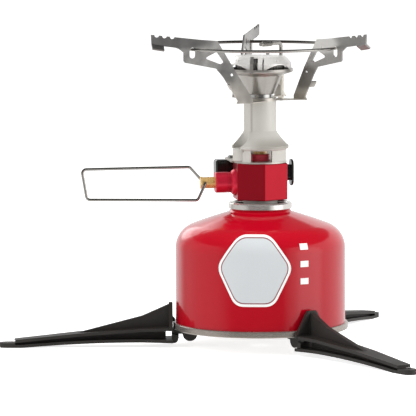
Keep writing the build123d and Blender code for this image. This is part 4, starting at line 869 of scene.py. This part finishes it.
# %% Ribs up the button's face
gaps = add(tree, "ShaderNodeMath", {0: sizes.outputs["Count"], 1: -1.0}, operation="ADD")
half = add(tree, "ShaderNodeMath", {0: sizes.outputs["Pitch"], 1: -0.5}, operation="MULTIPLY")
lowest = add(tree, "ShaderNodeMath", {
    0: gaps.outputs["Value"], 1: half.outputs["Value"]
}, operation="MULTIPLY")
foot = add(tree, "ShaderNodeCombineXYZ", {"Z": lowest.outputs["Value"]})
step = add(tree, "ShaderNodeCombineXYZ", {"Z": sizes.outputs["Pitch"]})
line = add(tree, "GeometryNodeMeshLine", {
    "Count": sizes.outputs["Count"], "Start Location": foot.outputs["Vector"],
    "Offset": step.outputs["Vector"],
})
ribs = add(tree, "GeometryNodeInstanceOnPoints", {
    "Points": line.outputs["Mesh"], "Instance": level.outputs["Geometry"]
})
placed = add(tree, "GeometryNodeTransform", {
    "Geometry": ribs.outputs["Instances"], "Translation": sizes.outputs["Middle"],
    "Rotation": sizes.outputs["Turn"],
})
plain = add(tree, "GeometryNodeRealizeInstances", {"Geometry": placed.outputs["Geometry"]})
moulded = add(tree, "GeometryNodeSetMaterial", {
    "Geometry": plain.outputs["Geometry"], "Material": sizes.outputs["Plastic"]
})
add(tree, "NodeGroupOutput", {"Geometry": moulded.outputs["Geometry"]})
low, high = (Vector(c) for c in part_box("igniter_button"))
face_x, face_y = 20.95 * MM, 20.5 * MM
face_middle = (
    face_x * math.cos(valve_turn) - face_y * math.sin(valve_turn),
    face_x * math.sin(valve_turn) + face_y * math.cos(valve_turn),
    (low.z + high.z) / 2,
)
run_tree(
    tree, "button_ribs", "igniter_button", "black_abs", Middle=face_middle, Turn=(0.0, 0.0, valve_turn),
    Plastic=bpy.data.materials["moulded_black_abs"],
)

# %% [markdown]
# ## Studio room
# The object stands on a white sweep, and the camera sees sweep and room as plain white. Reflections see
# more. The backdrop and the right wall are white, the left wall is dimmer, and the ceiling and the room
# behind the camera are dark, which gives steel its greys and the can its clear red. A softbox high behind
# on the left draws the highlight on the can's shoulder, and one on the right lights the valve block. Matt
# surfaces see neither: they get an even fill, and the lamps do the rest.

# %% Walls and ceiling
world = bpy.data.worlds.new("studio_room")
bpy.context.scene.world = world
world.use_nodes = True
tree = world.node_tree
tree.nodes.clear()
ray = add(tree, "ShaderNodeTexCoord").outputs["Generated"]
way = add(tree, "ShaderNodeSeparateXYZ", {"Vector": ray})
right = add(tree, "ShaderNodeMapRange", {
    "Value": way.outputs["X"], "From Min": 0.42, "From Max": 0.72
}, interpolation_type="SMOOTHSTEP")
left = add(tree, "ShaderNodeMapRange", {
    "Value": way.outputs["X"], "From Min": -0.6, "From Max": -0.95, "To Min": 0.0, "To Max": 0.6
}, interpolation_type="SMOOTHSTEP")
behind = add(tree, "ShaderNodeMapRange", {
    "Value": way.outputs["Y"], "From Min": -0.15, "From Max": 0.3
}, interpolation_type="SMOOTHSTEP")
dim_left = add(tree, "ShaderNodeMapRange", {
    "Value": way.outputs["X"], "From Min": -0.6, "From Max": -0.8, "To Min": 1.0, "To Max": 0.38
}, interpolation_type="SMOOTHSTEP")
backdrop = add(tree, "ShaderNodeMath", {
    0: behind.outputs["Result"], 1: dim_left.outputs["Result"]
}, operation="MULTIPLY")
sides = add(tree, "ShaderNodeMath", {
    0: right.outputs["Result"], 1: left.outputs["Result"]
}, operation="MAXIMUM")
walls = add(tree, "ShaderNodeMath", {
    0: sides.outputs["Value"], 1: backdrop.outputs["Value"]
}, operation="MAXIMUM")
below = add(tree, "ShaderNodeMapRange", {
    "Value": way.outputs["Z"], "From Min": -0.13, "From Max": -0.28
}, interpolation_type="SMOOTHSTEP")
ceiling = add(tree, "ShaderNodeMapRange", {
    "Value": way.outputs["Z"], "From Min": 0.42, "From Max": 0.5
}, interpolation_type="SMOOTHSTEP")
level = add(tree, "ShaderNodeMath", {
    0: walls.outputs["Value"], 1: below.outputs["Result"]
}, operation="MAXIMUM")
around = add(tree, "ShaderNodeMix", {
    "Factor": ceiling.outputs["Result"], "A": level.outputs["Value"], "B": 0.0
})
room = add(tree, "ShaderNodeMapRange", {"Value": around.outputs["Result"], "To Min": 0.1, "To Max": 1.0})
print("walls and ceiling:", len(tree.nodes), "nodes")

# %% Softboxes that the gloss mirrors
to_high_box, to_panel_light = (-0.418, 0.787, 0.454), (0.93, -0.37, 0.0)
towards = add(tree, "ShaderNodeVectorMath", {0: ray, 1: to_high_box}, operation="DOT_PRODUCT")
high_box = add(tree, "ShaderNodeMapRange", {
    "Value": towards.outputs["Value"], "From Min": 0.94, "From Max": 0.975, "To Min": 0.0, "To Max": 1.9
}, interpolation_type="SMOOTHSTEP")
towards = add(tree, "ShaderNodeVectorMath", {0: ray, 1: to_panel_light}, operation="DOT_PRODUCT")
panel_light = add(tree, "ShaderNodeMapRange", {
    "Value": towards.outputs["Value"], "From Min": 0.9, "From Max": 0.98, "To Min": 0.0, "To Max": 0.8
}, interpolation_type="SMOOTHSTEP")
boxes = add(tree, "ShaderNodeMath", {
    0: high_box.outputs["Result"], 1: panel_light.outputs["Result"]
}, operation="ADD")
lit = add(tree, "ShaderNodeMath", {0: room.outputs["Result"], 1: boxes.outputs["Value"]}, operation="ADD")
print("with softboxes:", len(tree.nodes), "nodes")

# %% What each kind of ray sees
path = add(tree, "ShaderNodeLightPath")
shown = add(tree, "ShaderNodeMix", {
    "Factor": path.outputs["Is Camera Ray"], "A": lit.outputs["Value"], "B": 1.0
})
seen = add(tree, "ShaderNodeMath", {
    0: path.outputs["Is Camera Ray"], 1: path.outputs["Is Glossy Ray"]
}, operation="MAXIMUM")
seen = add(tree, "ShaderNodeMath", {
    0: seen.outputs["Value"], 1: path.outputs["Is Transmission Ray"]
}, operation="MAXIMUM")
fill = add(tree, "ShaderNodeMix", {
    "Factor": seen.outputs["Value"], "A": 0.45, "B": shown.outputs["Result"]
})
back = add(tree, "ShaderNodeBackground", {"Color": colour("FFFFFF"), "Strength": fill.outputs["Result"]})
add(tree, "ShaderNodeOutputWorld", {"Surface": back.outputs["Background"]})
print("world:", len(tree.nodes), "nodes")

# %% [markdown]
# ## Floor
# The floor is a wide round of white paper. To the camera it glows as well, so it goes white but keeps a
# soft shadow. Reflections see through it to the room, which is white below too.

# %% Floor
paper_radius = 6.0
mesh = bpy.data.meshes.new("floor")
sheet = bmesh.new()
bmesh.ops.create_circle(sheet, cap_ends=True, segments=96, radius=paper_radius)
sheet.to_mesh(mesh)
sheet.free()
floor = bpy.data.objects.new("floor", mesh)
bpy.context.collection.objects.link(floor)
paper = bpy.data.materials.new("white_paper_sweep")
paper.use_nodes = True
tree = paper.node_tree
tree.nodes.clear()
path = add(tree, "ShaderNodeLightPath")
flat = add(tree, "ShaderNodeBsdfDiffuse", {"Color": colour("F4F4F4")})
glow = add(tree, "ShaderNodeEmission", {"Color": colour("FFFFFF"), "Strength": 0.75})
lifted = add(tree, "ShaderNodeAddShader", {0: flat.outputs["BSDF"], 1: glow.outputs["Emission"]})
either = add(tree, "ShaderNodeMixShader", {
    0: path.outputs["Is Camera Ray"], 1: flat.outputs["BSDF"], 2: lifted.outputs["Shader"]
})
clear = add(tree, "ShaderNodeBsdfTransparent")
paper_seen = add(tree, "ShaderNodeMixShader", {
    0: path.outputs["Is Glossy Ray"], 1: either.outputs["Shader"], 2: clear.outputs["BSDF"]
})
add(tree, "ShaderNodeOutputMaterial", {"Surface": paper_seen.outputs["Shader"]})
mesh.materials.append(paper)
floor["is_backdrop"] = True
print("floor:", 2 * paper_radius, "m across")

# %% [markdown]
# ## Lamps
# Three large softboxes, above and at both sides, model the matt plastic and the casting. They are hidden
# from reflections, because the room already holds what the gloss should mirror.

# %% Lamps
lamp_aim = Vector((0, 0, 90.0 * MM))
# Each lamp: where it stands, its width and height in metres, and its power in watts
lamps = {
    "top_softbox": ((-0.15, -0.25, 1.2), (1.0, 1.0), 7.6),
    "left_softbox": ((-1.1, -0.55, 0.55), (0.5, 1.0), 7.0),
    "right_softbox": ((1.1, -0.35, 0.5), (0.6, 1.0), 9.0),
}
for name, (place, size, watts) in lamps.items():
    lamp = bpy.data.lights.new(name, "AREA")
    lamp.shape, lamp.size, lamp.size_y, lamp.energy = "RECTANGLE", size[0], size[1], watts
    holder = bpy.data.objects.new(name, lamp)
    holder.location = place
    holder.rotation_euler = (lamp_aim - Vector(place)).to_track_quat("-Z", "Y").to_euler()
    holder.visible_camera = False
    holder.visible_glossy = False
    bpy.context.collection.objects.link(holder)
print("lamps:", len(lamps))

# %% [markdown]
# ## Camera
# The photograph was taken with a long lens from a little above the table, so its lines stay almost
# parallel. The object stands right of the middle, because the handle and one leg reach far to the left. The
# camera is rolled by a fifth of a degree, a middle way between the lean of the can and that of the legs.

# %% Camera
turn, rise, roll, distance = math.radians(-2.4), math.radians(5.5), math.radians(-0.2), 2.2
waist = Vector((0, 0, 80.0 * MM))
aim = waist + Vector((-27.53, 1.2, -6.99)) * MM
back = Vector((math.sin(turn) * math.cos(rise), -math.cos(turn) * math.cos(rise), math.sin(rise)))
lens = bpy.data.cameras.new("camera")
lens.lens, lens.sensor_width = 361.2, 36.0
lens.clip_end = 100.0
camera = bpy.data.objects.new("camera", lens)
camera.location = waist + back * distance
camera.rotation_mode = "QUATERNION"
level = (aim - camera.location).to_track_quat("-Z", "Y")
camera.rotation_quaternion = level @ Quaternion((0, 0, 1), roll)
bpy.context.collection.objects.link(camera)
bpy.context.scene.camera = camera
bpy.context.scene.view_settings.view_transform = "Standard"
print("camera:", lens.lens, "mm lens,", distance, "m away")

# %% [markdown]
# ## Sizes and finish
# The last cell finds the box of everything that is seen, leaving out the floor.

# %% Sizes and finish
low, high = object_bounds()
